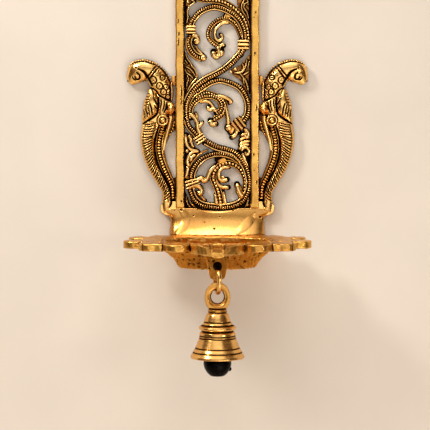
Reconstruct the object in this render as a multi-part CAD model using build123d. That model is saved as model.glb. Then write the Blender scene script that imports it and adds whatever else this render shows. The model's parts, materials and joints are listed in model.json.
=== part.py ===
from build123d import *
import os

# Wall hanging oil lamp in cast brass, in millimetres.
# The origin is the axis of the nail eye where it meets the wall plane.
# +X is right as seen from the front, +Y goes into the wall, +Z is up.

# Openwork panel
panel_width = 57.0
rail_width = 6.1
rail_depth = 5.0
rail_edge = 0.9
scroll_pitch = 50.9
full_scrolls = 3
lowest_scroll_share = 0.784
scroll_depth = 3.8
scroll_setback = 0.5

# Crest and nail eye
eye_drop = 28.4
eye_radius = 7.2
eye_bore_radius = 2.5
eye_depth = 5.0
crest_depth = 4.2
crest_foot_height = 6.0
crest_lobe_radius = 9.5
crest_crown_share = 1.45
eye_neck_share = 0.8

# Parrots outside the rails
parrot_height = 105.9
parrot_reach = 34.4
parrot_foot_drop = 3.6
parrot_back_gap = 0.4
parrot_head_depth = 9.4
parrot_neck_depth = 8.0
wing_depth = 8.8
tail_depth = 7.6
tail_strand_depth = 6.0
claw_radius = 3.1
claw_depth = 8.4
lug_depth = 3.4
lug_height = 4.2
limb_flat_share = 0.55

# Scoop between the panel and the dish
scoop_drop = 17.8
scoop_reach = 21.0
scoop_front_width = 52.0
scoop_foot_width = 66.0
scoop_shoulder_width = 76.0
scoop_shoulder_height = 5.2
scoop_hollow = 2.4

# Dish
dish_centre_reach = 47.0
rim_thickness = 5.1
rim_half_width = 50.0
rim_half_depth = 29.0
rim_corner_radius = 15.0
well_half_width = 34.0
well_half_depth = 23.0
ear_radius = 7.6
bowl_height = 11.4
bowl_top_half_width = 37.4
bowl_top_half_depth = 27.0
bowl_wall = 2.2

# Wick spout
spout_base_width = 34.6
spout_tip_width = 13.0
spout_length = 20.0
spout_depth = 6.4
spout_root_share = 0.86
spout_shoulder_share = 0.30
groove_root_share = 0.5
wick_groove_width = 6.0
wick_groove_depth = 2.6

# Lug and ring link
lug_stand_off = 6.0
bell_lug_width = 12.7
bell_lug_tip_width = 8.0
bell_lug_thickness = 3.6
bell_lug_length = 17.3
link_hole_rise = 9.3
link_hole_radius = 2.3
link_hole_edge = 0.6
link_wire_radius = 1.6
link_mean_radius = 8.35
link_turn = 9.0
link_hang = 0.35
loop_hang = 0.3
loop_round_off = 0.02

# Bell
loop_half_width = 8.4
loop_hole_radius = 5.0
loop_thickness = 4.2
loop_bar = 4.9
collar_radius = 6.2
collar_height = 2.0
bell_height = 29.9
bell_mouth_radius = 17.7
bell_wall = 1.8
bell_crown_wall = 2.2

# Clapper
staple_drop = 3.2
staple_span = 6.4
staple_wire_radius = 0.7
clapper_wire_radius = 0.7
clapper_eye_radius = 1.9
clapper_radius = 9.2
clapper_drop = 3.4
clapper_flat_rise = 0.6
wire_seat_depth = 6.0

# How far a cutting tool runs past what it cuts
overrun = 1.0

# Levels that follow from the sizes above
lowest_scroll_height = lowest_scroll_share * scroll_pitch
panel_height = full_scrolls * scroll_pitch + lowest_scroll_height
panel_top = -eye_drop
panel_bottom = panel_top - panel_height
rim_top = panel_bottom - scoop_drop
rim_bottom = rim_top - rim_thickness
bowl_bottom = rim_bottom - bowl_height
spout_bottom = rim_top - spout_depth
spout_tip_reach = dish_centre_reach + rim_half_depth + spout_length
lug_reach = dish_centre_reach + bowl_top_half_depth + lug_stand_off
half_opening = panel_width / 2 - rail_width
half_pitch = scroll_pitch / 2

# Scrollwork. Each row is (points, start width, end width). A point is (across, up) from the
# middle of its scroll, as shares of half the opening and half the pitch, and the widths are shares
# of half the opening. The cell is drawn with half its opening this share of half its pitch.
cell_shape_share = 0.88
high_turn_vine_shares = [
    ([(-0.79, 0.21), (-0.76, 0.44), (-0.55, 0.67), (-0.30, 0.79), (-0.04, 0.82), (0.30, 0.73),
      (0.61, 0.53), (0.78, 0.26), (0.83, 0.0)], 0.16, 0.16),
    ([(-0.60, 1.10), (-0.47, 1.04), (0.13, 0.98), (0.55, 0.77), (0.81, 0.52), (0.91, 0.15)], 0.16, 0.14),
    ([(0.73, 0.03), (0.55, 0.36), (0.26, 0.52), (-0.02, 0.46), (-0.23, 0.26), (-0.26, 0.03),
      (-0.13, -0.12), (0.0, -0.24), (0.0, -0.40)], 0.16, 0.16),
    ([(0.24, 0.40), (0.0, 0.35), (-0.09, 0.18), (-0.05, 0.02), (0.09, -0.06), (0.17, 0.03)], 0.09, 0.13),
    ([(-0.81, 0.10), (-0.82, -0.20), (-0.66, -0.43), (-0.43, -0.52)], 0.20, 0.20),
    ([(-0.70, 0.10), (-0.62, -0.08)], 0.20, 0.20),
    ([(-0.95, 0.23), (-0.66, 0.23)], 0.26, 0.26),
    ([(0.62, -0.17), (0.96, -0.17)], 0.28, 0.28),
    ([(-0.14, -0.36), (0.0, -0.48), (0.11, -0.38)], 0.16, 0.16),
    ([(0.35, 0.62), (0.26, 0.50)], 0.20, 0.20),
]
low_turn_vine_shares = [
    ([(0.80, 1.72), (0.71, 1.62), (0.48, 1.39), (0.22, 1.19), (-0.05, 1.05), (-0.37, 0.91),
      (-0.65, 0.72), (-0.83, 0.52), (-0.95, 0.30), (-0.98, 0.09), (-0.96, -0.14), (-0.88, -0.37),
      (-0.64, -0.61)], 0.24, 0.16),
    ([(-0.92, 0.03), (-0.88, 0.25), (-0.73, 0.48), (-0.50, 0.62), (-0.22, 0.79), (0.08, 0.86),
      (0.38, 0.80), (0.64, 0.69), (0.81, 0.51), (0.91, 0.30), (0.93, 0.12), (0.90, -0.06),
      (0.80, -0.20)], 0.12, 0.20),
    ([(-0.81, -0.14), (-0.81, 0.09), (-0.69, 0.27), (-0.47, 0.40), (-0.22, 0.43), (0.01, 0.36),
      (0.11, 0.21), (0.07, 0.06), (-0.04, 0.01)], 0.13, 0.14),
    ([(-0.62, 0.42), (-0.46, 0.50), (-0.30, 0.54), (0.04, 0.43), (0.22, 0.27), (0.22, 0.09),
      (0.13, -0.06), (-0.09, -0.18)], 0.12, 0.16),
    ([(0.03, 0.46), (0.25, 0.41), (0.43, 0.31)], 0.12, 0.07),
    ([(-0.47, 0.30), (-0.25, 0.27), (-0.14, 0.16), (-0.22, 0.09)], 0.09, 0.14),
    ([(-0.14, 0.12), (-0.02, 0.04)], 0.10, 0.10),
    ([(0.25, 0.20), (0.31, -0.07), (0.33, -0.30)], 0.10, 0.10),
    ([(0.35, -0.40), (0.46, -0.44)], 0.24, 0.32),
    ([(0.78, -0.18), (0.50, -0.38)], 0.34, 0.36),
    ([(-0.16, -0.30), (-0.09, -0.18)], 0.24, 0.18),
    ([(-0.86, -0.02), (-0.70, -0.12), (-0.62, -0.25), (-0.60, -0.40), (-0.52, -0.56)], 0.12, 0.12),
    ([(-0.62, -0.62), (-0.44, -0.78)], 0.28, 0.28),
]
lowest_vine_shares = [
    ([(-0.60, 1.40), (-0.37, 1.22), (-0.04, 1.07), (0.30, 0.99), (0.55, 0.90), (0.76, 0.67),
      (0.89, 0.45), (0.96, 0.15), (0.92, -0.12), (0.78, -0.34), (0.52, -0.48), (0.22, -0.52),
      (-0.13, -0.51), (-0.47, -0.46), (-0.68, -0.31), (-0.76, -0.13), (-0.77, 0.0)], 0.20, 0.16),
    ([(-0.74, 0.15), (-0.76, 0.34), (-0.64, 0.58), (-0.42, 0.77), (-0.13, 0.87), (0.18, 0.88),
      (0.47, 0.80), (0.67, 0.67)], 0.17, 0.16),
    ([(0.83, -0.15), (0.85, 0.15), (0.78, 0.37), (0.64, 0.54), (0.38, 0.64), (0.13, 0.60), (-0.06, 0.45),
      (-0.13, 0.25), (-0.04, 0.05), (0.04, -0.15), (0.09, -0.37), (0.11, -0.50)], 0.14, 0.26),
    ([(0.36, 0.53), (0.18, 0.52), (0.06, 0.40), (0.07, 0.25), (0.17, 0.19), (0.28, 0.22)], 0.08, 0.12),
    ([(-0.03, 0.17), (0.10, 0.03), (0.32, -0.01)], 0.10, 0.10),
    ([(0.17, 0.22), (0.22, 0.32)], 0.12, 0.14),
    ([(0.60, 0.08), (0.80, -0.22)], 0.16, 0.24),
    ([(-0.66, 0.14), (-0.47, 0.24), (-0.36, 0.18), (-0.25, 0.36), (-0.14, 0.56)], 0.14, 0.12),
    ([(0.80, 1.52), (0.83, 1.25), (0.85, 1.01), (0.92, 0.74), (0.99, 0.55)], 0.36, 0.10),
    ([(-0.97, 1.60), (-0.94, 1.25), (-0.80, 1.09), (-0.57, 0.99)], 0.10, 0.10),
    ([(-0.50, 0.98), (-0.80, 0.90), (-0.91, 0.69), (-0.89, 0.42), (-0.96, 0.15)], 0.12, 0.10),
    ([(-1.0, 0.97), (-0.94, 0.97)], 0.16, 0.16),
    ([(-0.90, 0.13), (-0.60, 0.13)], 0.22, 0.22),
    ([(-0.72, 0.0), (-0.58, -0.03), (-0.50, -0.12), (-0.56, -0.20)], 0.10, 0.18),
    ([(0.12, 0.72), (0.20, 0.62)], 0.20, 0.20),
]

# Leaves that fill the corners, as outlines in the same shares.
high_turn_leaf_shares = [
    [(-1.05, 1.36), (-0.80, 1.15), (-0.62, 0.96), (-0.84, 0.86), (-0.88, 0.66), (-0.76, 0.45),
     (-0.86, 0.34), (-1.05, 0.30)],
    [(0.60, 1.31), (0.60, 0.90), (0.68, 0.74), (0.86, 0.60), (1.05, 0.40), (1.05, 1.31)],
]
low_turn_leaf_shares = [
    [(-1.05, 1.70), (-0.86, 1.38), (-0.68, 1.16), (-0.58, 0.97), (-0.70, 0.78), (-0.92, 0.50),
     (-1.05, 0.45)],
    [(1.05, 1.60), (0.80, 1.38), (0.66, 1.26), (0.42, 1.16), (0.52, 1.02), (0.68, 0.87), (0.82, 0.64),
     (0.98, 0.50), (1.05, 0.50)],
]
lowest_leaf_shares = [
    [(-1.05, -0.15), (-0.86, -0.30), (-0.60, -0.62), (-1.05, -0.62)],
    [(1.05, -0.12), (0.95, -0.33), (0.70, -0.62), (1.05, -0.62)],
    [(0.05, -0.45), (0.18, -0.45), (0.24, -0.62), (-0.04, -0.62)],
]

# Parrot. Each row is (out from the rail, up from the foot, half width) along the middle of a limb,
# the places as shares of the parrot's reach and height and the half width as a share of its reach.
head_shares = [
    (0.85, 0.828, 0.12), (0.795, 0.875, 0.20), (0.70, 0.917, 0.224), (0.585, 0.94, 0.175),
    (0.49, 0.945, 0.12),
]
neck_shares = [
    (0.615, 0.95, 0.13), (0.50, 0.92, 0.215), (0.38, 0.868, 0.225), (0.26, 0.80, 0.20), (0.20, 0.735, 0.13),
]
thigh_shares = [
    (0.27, 0.755, 0.10), (0.27, 0.70, 0.18), (0.25, 0.65, 0.20), (0.24, 0.60, 0.20), (0.26, 0.555, 0.16),
]
wing_shares = [
    (0.51, 0.81, 0.05), (0.50, 0.755, 0.12), (0.50, 0.695, 0.17), (0.54, 0.64, 0.155), (0.61, 0.595, 0.06),
]
tail_shares = [
    (0.50, 0.60, 0.13), (0.53, 0.545, 0.18), (0.555, 0.47, 0.165), (0.54, 0.39, 0.155), (0.46, 0.30, 0.14),
    (0.34, 0.21, 0.125), (0.21, 0.125, 0.10), (0.17, 0.065, 0.085), (0.20, 0.0, 0.09),
]
tail_cord_shares = [
    (0.26, 0.575, 0.10), (0.29, 0.52, 0.085), (0.32, 0.45, 0.075), (0.315, 0.36, 0.065), (0.24, 0.28, 0.06),
    (0.15, 0.20, 0.06), (0.075, 0.12, 0.055), (0.06, 0.055, 0.05),
]
claw_place_shares = [(0.10, 0.675), (0.255, 0.605)]
head_lug_share = 0.86
thigh_lug_share = 0.555
foot_lug_share = 0.19

# Ears round the dish rim, (across, back) from the dish's middle, as shares of the rim's half width
# and half depth, with a radius as a share of the ear radius.
ear_shares = [
    (0.78, 1.00, 0.92), (1.06, 0.72, 0.90), (1.10, -0.12, 1.0), (0.88, -0.70, 1.05), (0.53, -0.95, 1.10),
]

# The bowl below the rim, (height left, width) as shares of the bowl's height and top half width.
bowl_shares = [(1.0, 1.0), (0.55, 0.84), (0.25, 0.775), (0.0, 0.68)]

# The cove of the scoop, (height left, reach) as shares of its drop and reach past the rails.
cove_shares = [(1.0, 0.0), (0.78, 0.06), (0.55, 0.17), (0.34, 0.36), (0.16, 0.62), (0.0, 1.0)]

# Bell outline, (height left, radius) as shares of the bell's height and mouth radius.
bell_shares = [
    (1.0, 0.34), (0.965, 0.42), (0.90, 0.475), (0.80, 0.505), (0.785, 0.49), (0.77, 0.52), (0.72, 0.56),
    (0.70, 0.63), (0.67, 0.68), (0.64, 0.68), (0.615, 0.63), (0.585, 0.615), (0.54, 0.655), (0.525, 0.64),
    (0.51, 0.665), (0.47, 0.67), (0.455, 0.655), (0.44, 0.68), (0.32, 0.765), (0.235, 0.82), (0.215, 0.805),
    (0.195, 0.85), (0.115, 0.93), (0.095, 0.92), (0.075, 0.95), (0.03, 1.0), (0.0, 0.985),
]
bell_hollow_shares = [(0.0, 0.89), (0.08, 0.84), (0.22, 0.71), (0.44, 0.56), (0.62, 0.50), (0.78, 0.40)]


def cell_place(spot, height):
    """Place on the panel of a spot drawn in a scroll's cell, whose sides keep the drawn shape."""
    return Vector(spot.X * half_opening, height + spot.Y * cell_shape_share * half_pitch)


def band(points, start_width, end_width, height):
    """Flat band of even taper round a smooth line, with round ends, in the cell at a height."""
    drawn = [(across, up / cell_shape_share) for across, up in points]
    line = Spline(*drawn) if len(drawn) > 2 else Line(*drawn)
    steps = 3 * len(points)
    left = []
    right = []
    for step in range(steps + 1):
        share = step / steps
        ahead = line % share
        half = (start_width + (end_width - start_width) * share) / 2
        side = Vector(-ahead.Y, ahead.X) * half
        left.append(cell_place(line @ share + side, height))
        right.append(cell_place(line @ share - side, height))
    start = cell_place(line @ 0 - (line % 0) * (start_width / 2), height)
    end = cell_place(line @ 1 + (line % 1) * (end_width / 2), height)
    right.reverse()
    edges = [
        Spline(*left),
        ThreePointArc(left[-1], end, right[0]),
        Spline(*right),
        ThreePointArc(right[-1], start, left[0]),
    ]
    return make_face(edges)


def scroll_middle_height(index):
    """Height of the middle of a full scroll, counted from the top of the panel."""
    return panel_top - scroll_pitch * index - half_pitch


def scroll_drawing(index, vine_rows, leaf_rows):
    """Every band and leaf of one scroll, as flat faces."""
    height = scroll_middle_height(index)
    faces = []
    for points, start_share, end_share in vine_rows:
        faces.append(band(points, start_share, end_share, height))
    for outline in leaf_rows:
        places = [(across * half_opening, height + up * half_pitch) for across, up in outline]
        faces.append(make_face(Polyline(*places, close=True)))
    return faces


def openwork():
    """The scrolls between the rails, cut into one piece for each turn."""
    faces = []
    for index in range(full_scrolls + 1):
        if index == full_scrolls:
            rows = (lowest_vine_shares, lowest_leaf_shares)
        elif index % 2 == full_scrolls % 2:
            rows = (high_turn_vine_shares, high_turn_leaf_shares)
        else:
            rows = (low_turn_vine_shares, low_turn_leaf_shares)
        faces += scroll_drawing(index, *rows)
    drawing = Sketch() + faces
    pieces = []
    for index in range(full_scrolls + 1):
        height = lowest_scroll_height if index == full_scrolls else scroll_pitch
        middle = panel_top - scroll_pitch * index - height / 2
        cell = Pos(0, middle) * Rectangle(2 * half_opening, height)
        turn = Plane.XZ.offset(scroll_setback) * (drawing & cell)
        pieces.append(extrude(turn, scroll_depth))
    return pieces


def rail(side):
    """One smooth side rail with its front edges broken."""
    middle = side * (panel_width - rail_width) / 2
    bar = Box(rail_width, rail_depth, panel_height)
    bar = Pos(middle, -rail_depth / 2, (panel_top + panel_bottom) / 2) * bar
    front = bar.faces().sort_by(Axis.Y)[0]
    long_edges = front.edges().filter_by(Axis.Z)
    return fillet(long_edges, rail_edge)


def crest():
    """Trefoil plate over the panel with the boss and bore of the nail eye."""
    foot_middle = panel_top + crest_foot_height / 2
    outline = Pos(0, foot_middle) * Rectangle(panel_width, crest_foot_height)
    lobe_height = panel_top + crest_foot_height
    lobe_step = panel_width / 2 - crest_lobe_radius
    for side in (-1, 1):
        outline += Pos(side * lobe_step, lobe_height) * Circle(crest_lobe_radius)
    outline += Pos(0, lobe_height + crest_lobe_radius / 2) * Circle(crest_lobe_radius * crest_crown_share)
    outline += Pos(0, -eye_radius) * Rectangle(2 * eye_radius * eye_neck_share, 2 * eye_radius)
    below = Pos(0, panel_top - panel_width / 2) * Rectangle(2 * panel_width, panel_width)
    plate = extrude(Plane.XZ * (outline - below), crest_depth)
    boss = extrude(Plane.XZ * Circle(eye_radius), eye_depth)
    bore = extrude(Plane.XZ.offset(-overrun) * Circle(eye_bore_radius), eye_depth + 2 * overrun)
    return plate + boss - bore


def limb(rows, depth, back):
    """Round limb lofted through ellipses along the rows of a share table, on the left side."""
    rail_side = -panel_width / 2
    foot = panel_bottom - parrot_foot_drop
    points = []
    for out, up, _ in rows:
        points.append(Vector(rail_side - out * parrot_reach, -back - depth / 2, foot + up * parrot_height))
    line = Spline(*points)
    sections = []
    for point, row in zip(points, rows):
        ahead = line.tangent_at(point)
        level = Plane(origin=point, x_dir=Vector(ahead.Z, 0, -ahead.X), z_dir=ahead)
        swell = limb_flat_share + (1 - limb_flat_share) * min(1, row[2] / rows[2][2])
        sections.append(level * Ellipse(row[2] * parrot_reach, depth * swell / 2))
    return loft(sections)


def rail_lug(share, length):
    """Small block that ties a limb to the left rail."""
    rail_side = -panel_width / 2
    height = panel_bottom - parrot_foot_drop + share * parrot_height
    block = Box(length, lug_depth, lug_height)
    return Pos(rail_side - length / 2, -parrot_back_gap - lug_depth / 2, height) * block


def claw(out_share, up_share):
    """Round knob of a folded claw."""
    across = -panel_width / 2 - out_share * parrot_reach
    height = panel_bottom - parrot_foot_drop + up_share * parrot_height
    knob = extrude(Plane.XZ.offset(parrot_back_gap) * Pos(across, height) * Circle(claw_radius), claw_depth)
    front = knob.faces().sort_by(Axis.Y)[0]
    return fillet(front.edges(), claw_radius / 2)


def parrot_pieces():
    """Body, wing and tail of the left parrot, each clear of the ones before it."""
    body = limb(head_shares, parrot_head_depth, parrot_back_gap)
    body += limb(neck_shares, parrot_neck_depth, parrot_back_gap)
    body += limb(thigh_shares, parrot_neck_depth, parrot_back_gap)
    body += rail_lug(head_lug_share, neck_shares[-2][0] * parrot_reach)
    body += rail_lug(thigh_lug_share, thigh_shares[-1][0] * parrot_reach)
    for out_share, up_share in claw_place_shares:
        body += claw(out_share, up_share)
    wing = limb(wing_shares, wing_depth, parrot_back_gap)
    tail = limb(tail_shares, tail_depth, parrot_back_gap)
    tail += limb(tail_cord_shares, tail_strand_depth, parrot_back_gap)
    tail += rail_lug(foot_lug_share, tail_cord_shares[-3][0] * parrot_reach)
    wing -= body
    tail -= body + wing
    return {"parrot": body, "wing": wing, "tail": tail}


def largest(shape):
    """The largest solid of a shape, without the crumbs of a cut."""
    return shape.solids().sort_by(SortBy.VOLUME)[-1]


def back_scoop():
    """Cove that carries the dish, with cheeks that lean back to the wall."""
    sections = []
    for left, reach in cove_shares:
        height = rim_top + left * scoop_drop
        front = -(rail_depth + reach * (scoop_reach - rail_depth))
        spread = scoop_foot_width / 2
        half = scoop_front_width / 2
        dent = front + scoop_hollow * min(1, 2 * reach)
        edges = [
            Line((-spread, 0), (spread, 0)),
            Line((spread, 0), (half, front)),
            Spline((half, front), (0, dent), (-half, front)),
            Line((-half, front), (-spread, 0)),
        ]
        sections.append(Pos(0, 0, height) * make_face(edges))
    body = loft(sections)
    shoulder = Box(scoop_shoulder_width, rail_depth, scoop_shoulder_height)
    shoulder_height = panel_bottom - scoop_shoulder_height / 2
    body += Pos(0, -rail_depth / 2, shoulder_height) * shoulder
    return body


def rim_drawing():
    """Outline of the lobed rim seen from above, without the spout."""
    middle = Pos(0, -dish_centre_reach)
    outline = middle * RectangleRounded(2 * rim_half_width, 2 * rim_half_depth, rim_corner_radius)
    for side in (-1, 1):
        for across, back, radius in ear_shares:
            place = Pos(side * across * rim_half_width, back * rim_half_depth)
            outline += middle * place * Circle(radius * ear_radius)
    outline += Pos(0, -dish_centre_reach / 2) * Rectangle(scoop_foot_width, dish_centre_reach)
    return outline


def spout_drawing():
    """Plan of the faceted spout in front of the rim."""
    base = dish_centre_reach + rim_half_depth * spout_root_share
    shoulder = base + (spout_tip_reach - base) * spout_shoulder_share
    half = spout_base_width / 2
    tip = spout_tip_width / 2
    corners = [(-half, -base), (-half, -shoulder), (-tip, -spout_tip_reach), (tip, -spout_tip_reach),
               (half, -shoulder), (half, -base)]
    return make_face(Polyline(*corners, close=True))


def bowl_solid(inset, floor):
    """Bowl below the rim, or the hollow inside it with an inset and a floor."""
    sections = []
    for left, width in bowl_shares:
        height = max(bowl_bottom + left * bowl_height, bowl_bottom + floor * (1 - left))
        across = bowl_top_half_width * width - inset
        along = bowl_top_half_depth - bowl_top_half_width * (1 - width) - inset
        place = Pos(0, -dish_centre_reach, height)
        sections.append(place * Ellipse(across, along))
    return loft(sections)


def dish_pieces():
    """Rim, bowl and spout, which share their joining faces."""
    well = Pos(0, -dish_centre_reach) * Ellipse(well_half_width, well_half_depth)
    spout_plan = spout_drawing()
    rim = extrude(Pos(0, 0, rim_bottom) * (rim_drawing() - well - spout_plan), rim_thickness)
    bowl = bowl_solid(0.0, 0.0) - bowl_solid(bowl_wall, bowl_wall)
    spout = extrude(Pos(0, 0, spout_bottom) * spout_plan, spout_depth)
    groove_start = dish_centre_reach + well_half_depth * groove_root_share
    groove_length = spout_tip_reach - groove_start + overrun
    groove = Box(wick_groove_width, groove_length, 2 * wick_groove_depth)
    groove = Pos(0, -groove_start - groove_length / 2, rim_top) * groove
    well_cut = extrude(Pos(0, 0, spout_bottom) * well, 2 * spout_depth)
    spout = spout - well_cut - groove - bowl_solid(0.0, 0.0)
    return rim, bowl, spout


def bell_lug():
    """Flat lug with a round hole under the spout."""
    top = spout_bottom
    bottom = top - bell_lug_length
    half = bell_lug_width / 2
    tip = bell_lug_tip_width / 2
    edges = [
        Line((-half, top), (half, top)),
        Line((half, top), (tip, bottom + tip / 2)),
        ThreePointArc((tip, bottom + tip / 2), (0, bottom), (-tip, bottom + tip / 2)),
        Line((-tip, bottom + tip / 2), (-half, top)),
    ]
    back = Plane.XZ.offset(lug_reach - bell_lug_thickness / 2)
    plate = extrude(back * make_face(edges), bell_lug_thickness)
    hole = back.offset(-overrun) * Pos(0, link_hole_level) * Circle(link_hole_radius)
    plate -= extrude(hole, bell_lug_thickness + 2 * overrun)
    rims = plate.edges().filter_by(GeomType.CIRCLE)
    mouths = [edge for edge in rims if abs(edge.radius - link_hole_radius) < link_hole_edge]
    return fillet(mouths, link_hole_edge)


def ring_link():
    """Round wire ring across the lug, turned a little from square."""
    across = Plane.YZ * Torus(link_mean_radius, link_wire_radius)
    return Pos(0, -lug_reach, link_level) * Rot(0, 0, link_turn) * across


def bell_loop():
    """Cast loop on the bell with a round bar at its top, and the collar under it."""
    back = Plane.XZ.offset(lug_reach - loop_thickness / 2)
    top_radius = loop_hole_radius + loop_bar
    outline = Pos(0, loop_level) * Ellipse(loop_half_width, top_radius)
    hole = Pos(0, loop_level) * Circle(loop_hole_radius)
    below = Pos(0, collar_bottom - top_radius) * Rectangle(4 * loop_half_width, 2 * top_radius)
    plate = extrude(back * (outline - hole - below), loop_thickness)
    rounds = plate.edges().filter_by(GeomType.CIRCLE)
    rims = [edge for edge in rounds if edge.radius < loop_hole_radius + bell_wall]
    plate = fillet(rims, loop_thickness / 2 - loop_round_off)
    collar_middle = collar_bottom + collar_height / 2
    collar = Pos(0, -lug_reach, collar_middle) * Cylinder(collar_radius, collar_height)
    hole_cut = extrude(back.offset(-overrun) * hole, loop_thickness + 2 * overrun)
    return plate + (collar - hole_cut)


def bell_shell():
    """Turned bell with grooves and a raised ring, hollow inside."""
    outer = [(0, bell_top)]
    for left, radius in bell_shares:
        outer.append((radius * bell_mouth_radius, bell_bottom + left * bell_height))
    outer.append((0, bell_bottom))
    inner = [(0, bell_bottom - overrun)]
    first = bell_hollow_shares[0][1] * bell_mouth_radius
    inner.append((first, bell_bottom - overrun))
    for left, radius in bell_hollow_shares:
        inner.append((radius * bell_mouth_radius, bell_bottom + left * bell_height))
    inner.append((bell_hollow_shares[-1][1] * bell_mouth_radius, bell_ceiling))
    inner.append((0, bell_ceiling))
    solid = revolve(Plane.XZ * make_face(Polyline(*outer, close=True)), Axis.Z)
    hollow = revolve(Plane.XZ * make_face(Polyline(*inner, close=True)), Axis.Z)
    return Pos(0, -lug_reach, 0) * (solid - hollow)


def clapper_staple():
    """Bent wire under the crown that the clapper hangs from."""
    half = staple_span / 2
    bend = 2 * staple_wire_radius
    route = [(0, -half, bell_ceiling), (0, -half, pivot_level), (0, half, pivot_level),
             (0, half, bell_ceiling)]
    line = FilletPolyline(*route, radius=bend)
    start = Plane(origin=route[0], z_dir=(0, 0, -1))
    wire = sweep(start * Circle(staple_wire_radius), path=line)
    return Pos(0, -lug_reach, 0) * wire


def clapper_pieces():
    """Wire with an eye round the staple, and the ball it carries."""
    eye_place = Plane(origin=(0, 0, pivot_level), z_dir=(0, 1, 0))
    eye = eye_place * Torus(clapper_eye_radius, clapper_wire_radius)
    wire_top = pivot_level - clapper_eye_radius
    wire_bottom = ball_level + clapper_radius - wire_seat_depth
    shank = Pos(0, 0, (wire_top + wire_bottom) / 2) * Cylinder(clapper_wire_radius, wire_top - wire_bottom)
    wire = eye + shank
    ball = Pos(0, 0, ball_level) * Sphere(clapper_radius)
    under = Pos(0, 0, ball_level - 2 * clapper_radius + clapper_flat_rise)
    ball -= under * Box(2 * clapper_radius, 2 * clapper_radius, 2 * clapper_radius)
    ball -= wire
    place = Pos(0, -lug_reach, 0)
    return place * wire, place * ball


# Levels of the hanging pieces
link_hole_level = spout_bottom - bell_lug_length + link_hole_rise
link_pivot = link_hole_level - link_hang
link_level = link_pivot - link_mean_radius
link_inner_bottom = link_level - link_mean_radius + link_wire_radius
loop_bar_level = link_inner_bottom + loop_hang + loop_thickness / 2
loop_level = loop_bar_level - loop_thickness / 2 - loop_hole_radius
collar_bottom = loop_level - loop_hole_radius - loop_bar
bell_top = collar_bottom
bell_bottom = bell_top - bell_height
bell_ceiling = bell_top - bell_crown_wall
pivot_level = bell_ceiling - staple_drop
ball_level = bell_bottom - clapper_drop


def main():
    """Build every piece and write it to its own file."""
    pieces = {}
    for name, turn in zip(("scroll_top", "scroll_upper", "scroll_middle", "scroll_lower"), openwork()):
        pieces[name] = turn
    pieces["left_rail"] = rail(-1)
    pieces["right_rail"] = rail(1)
    pieces["top_crest"] = crest()
    scoop = back_scoop()
    for name, piece in parrot_pieces().items():
        seated = largest(piece - scoop) if name == "tail" else piece
        pieces[f"left_{name}"] = seated
        pieces[f"right_{name}"] = mirror(seated, about=Plane.YZ)
    rim, bowl, spout = dish_pieces()
    pieces["back_scoop"] = scoop
    pieces["dish_rim"] = rim
    pieces["dish_bowl"] = bowl
    pieces["wick_spout"] = spout
    pieces["bell_lug"] = bell_lug()
    pieces["ring_link"] = ring_link()
    pieces["bell_loop"] = bell_loop()
    pieces["bell_shell"] = bell_shell()
    pieces["clapper_staple"] = clapper_staple()
    pieces["clapper_wire"], pieces["clapper_ball"] = clapper_pieces()
    os.makedirs("parts", exist_ok=True)
    for name, piece in pieces.items():
        export_step(piece, f"parts/{name}.step")


main()
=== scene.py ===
"""Looks of a wall hanging oil lamp in cast brass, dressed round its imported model.

Sizes are in millimetres and become metres where a mesh is made. The lamp hangs on the plane y = 0,
+X is right and +Z is up, and the front is towards -Y.
"""

import json
import logging
import math
from dataclasses import dataclass
from enum import Enum
from typing import Any, Callable, Optional, Sequence, Union

import bmesh
import bpy
import numpy as np
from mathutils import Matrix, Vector
from mathutils.bvhtree import BVHTree


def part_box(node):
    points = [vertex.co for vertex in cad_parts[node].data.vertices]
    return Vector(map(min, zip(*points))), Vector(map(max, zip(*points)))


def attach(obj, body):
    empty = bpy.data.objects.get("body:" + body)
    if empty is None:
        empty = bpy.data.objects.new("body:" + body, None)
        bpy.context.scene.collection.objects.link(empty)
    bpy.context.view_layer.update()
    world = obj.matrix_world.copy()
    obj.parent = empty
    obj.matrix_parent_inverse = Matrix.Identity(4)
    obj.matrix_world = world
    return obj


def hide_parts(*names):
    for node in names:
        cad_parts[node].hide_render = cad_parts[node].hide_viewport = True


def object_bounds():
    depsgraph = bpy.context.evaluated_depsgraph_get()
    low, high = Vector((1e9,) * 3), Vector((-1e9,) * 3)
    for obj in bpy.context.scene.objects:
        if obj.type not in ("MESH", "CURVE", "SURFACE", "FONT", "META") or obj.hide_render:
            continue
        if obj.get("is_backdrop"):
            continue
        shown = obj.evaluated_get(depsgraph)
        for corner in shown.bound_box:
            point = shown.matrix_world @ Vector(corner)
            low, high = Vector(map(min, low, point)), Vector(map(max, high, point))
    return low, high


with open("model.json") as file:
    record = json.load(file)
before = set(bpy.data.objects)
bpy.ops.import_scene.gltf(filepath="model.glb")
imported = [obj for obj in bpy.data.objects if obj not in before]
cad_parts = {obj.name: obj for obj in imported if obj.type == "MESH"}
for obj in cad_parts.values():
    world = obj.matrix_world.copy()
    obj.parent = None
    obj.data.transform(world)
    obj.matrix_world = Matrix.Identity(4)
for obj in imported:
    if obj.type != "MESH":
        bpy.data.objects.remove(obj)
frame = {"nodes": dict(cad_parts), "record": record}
cad_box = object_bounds()
log = logging.getLogger("lamp")

MM = 0.001
Colour = tuple[float, float, float]
Rows = Sequence[Sequence[float]]


def box_mm(node: str) -> tuple[np.ndarray, np.ndarray]:
    """Lowest and highest corner of a CAD node, in millimetres."""
    low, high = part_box(node)
    return np.array(low) / MM, np.array(high) / MM


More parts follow.
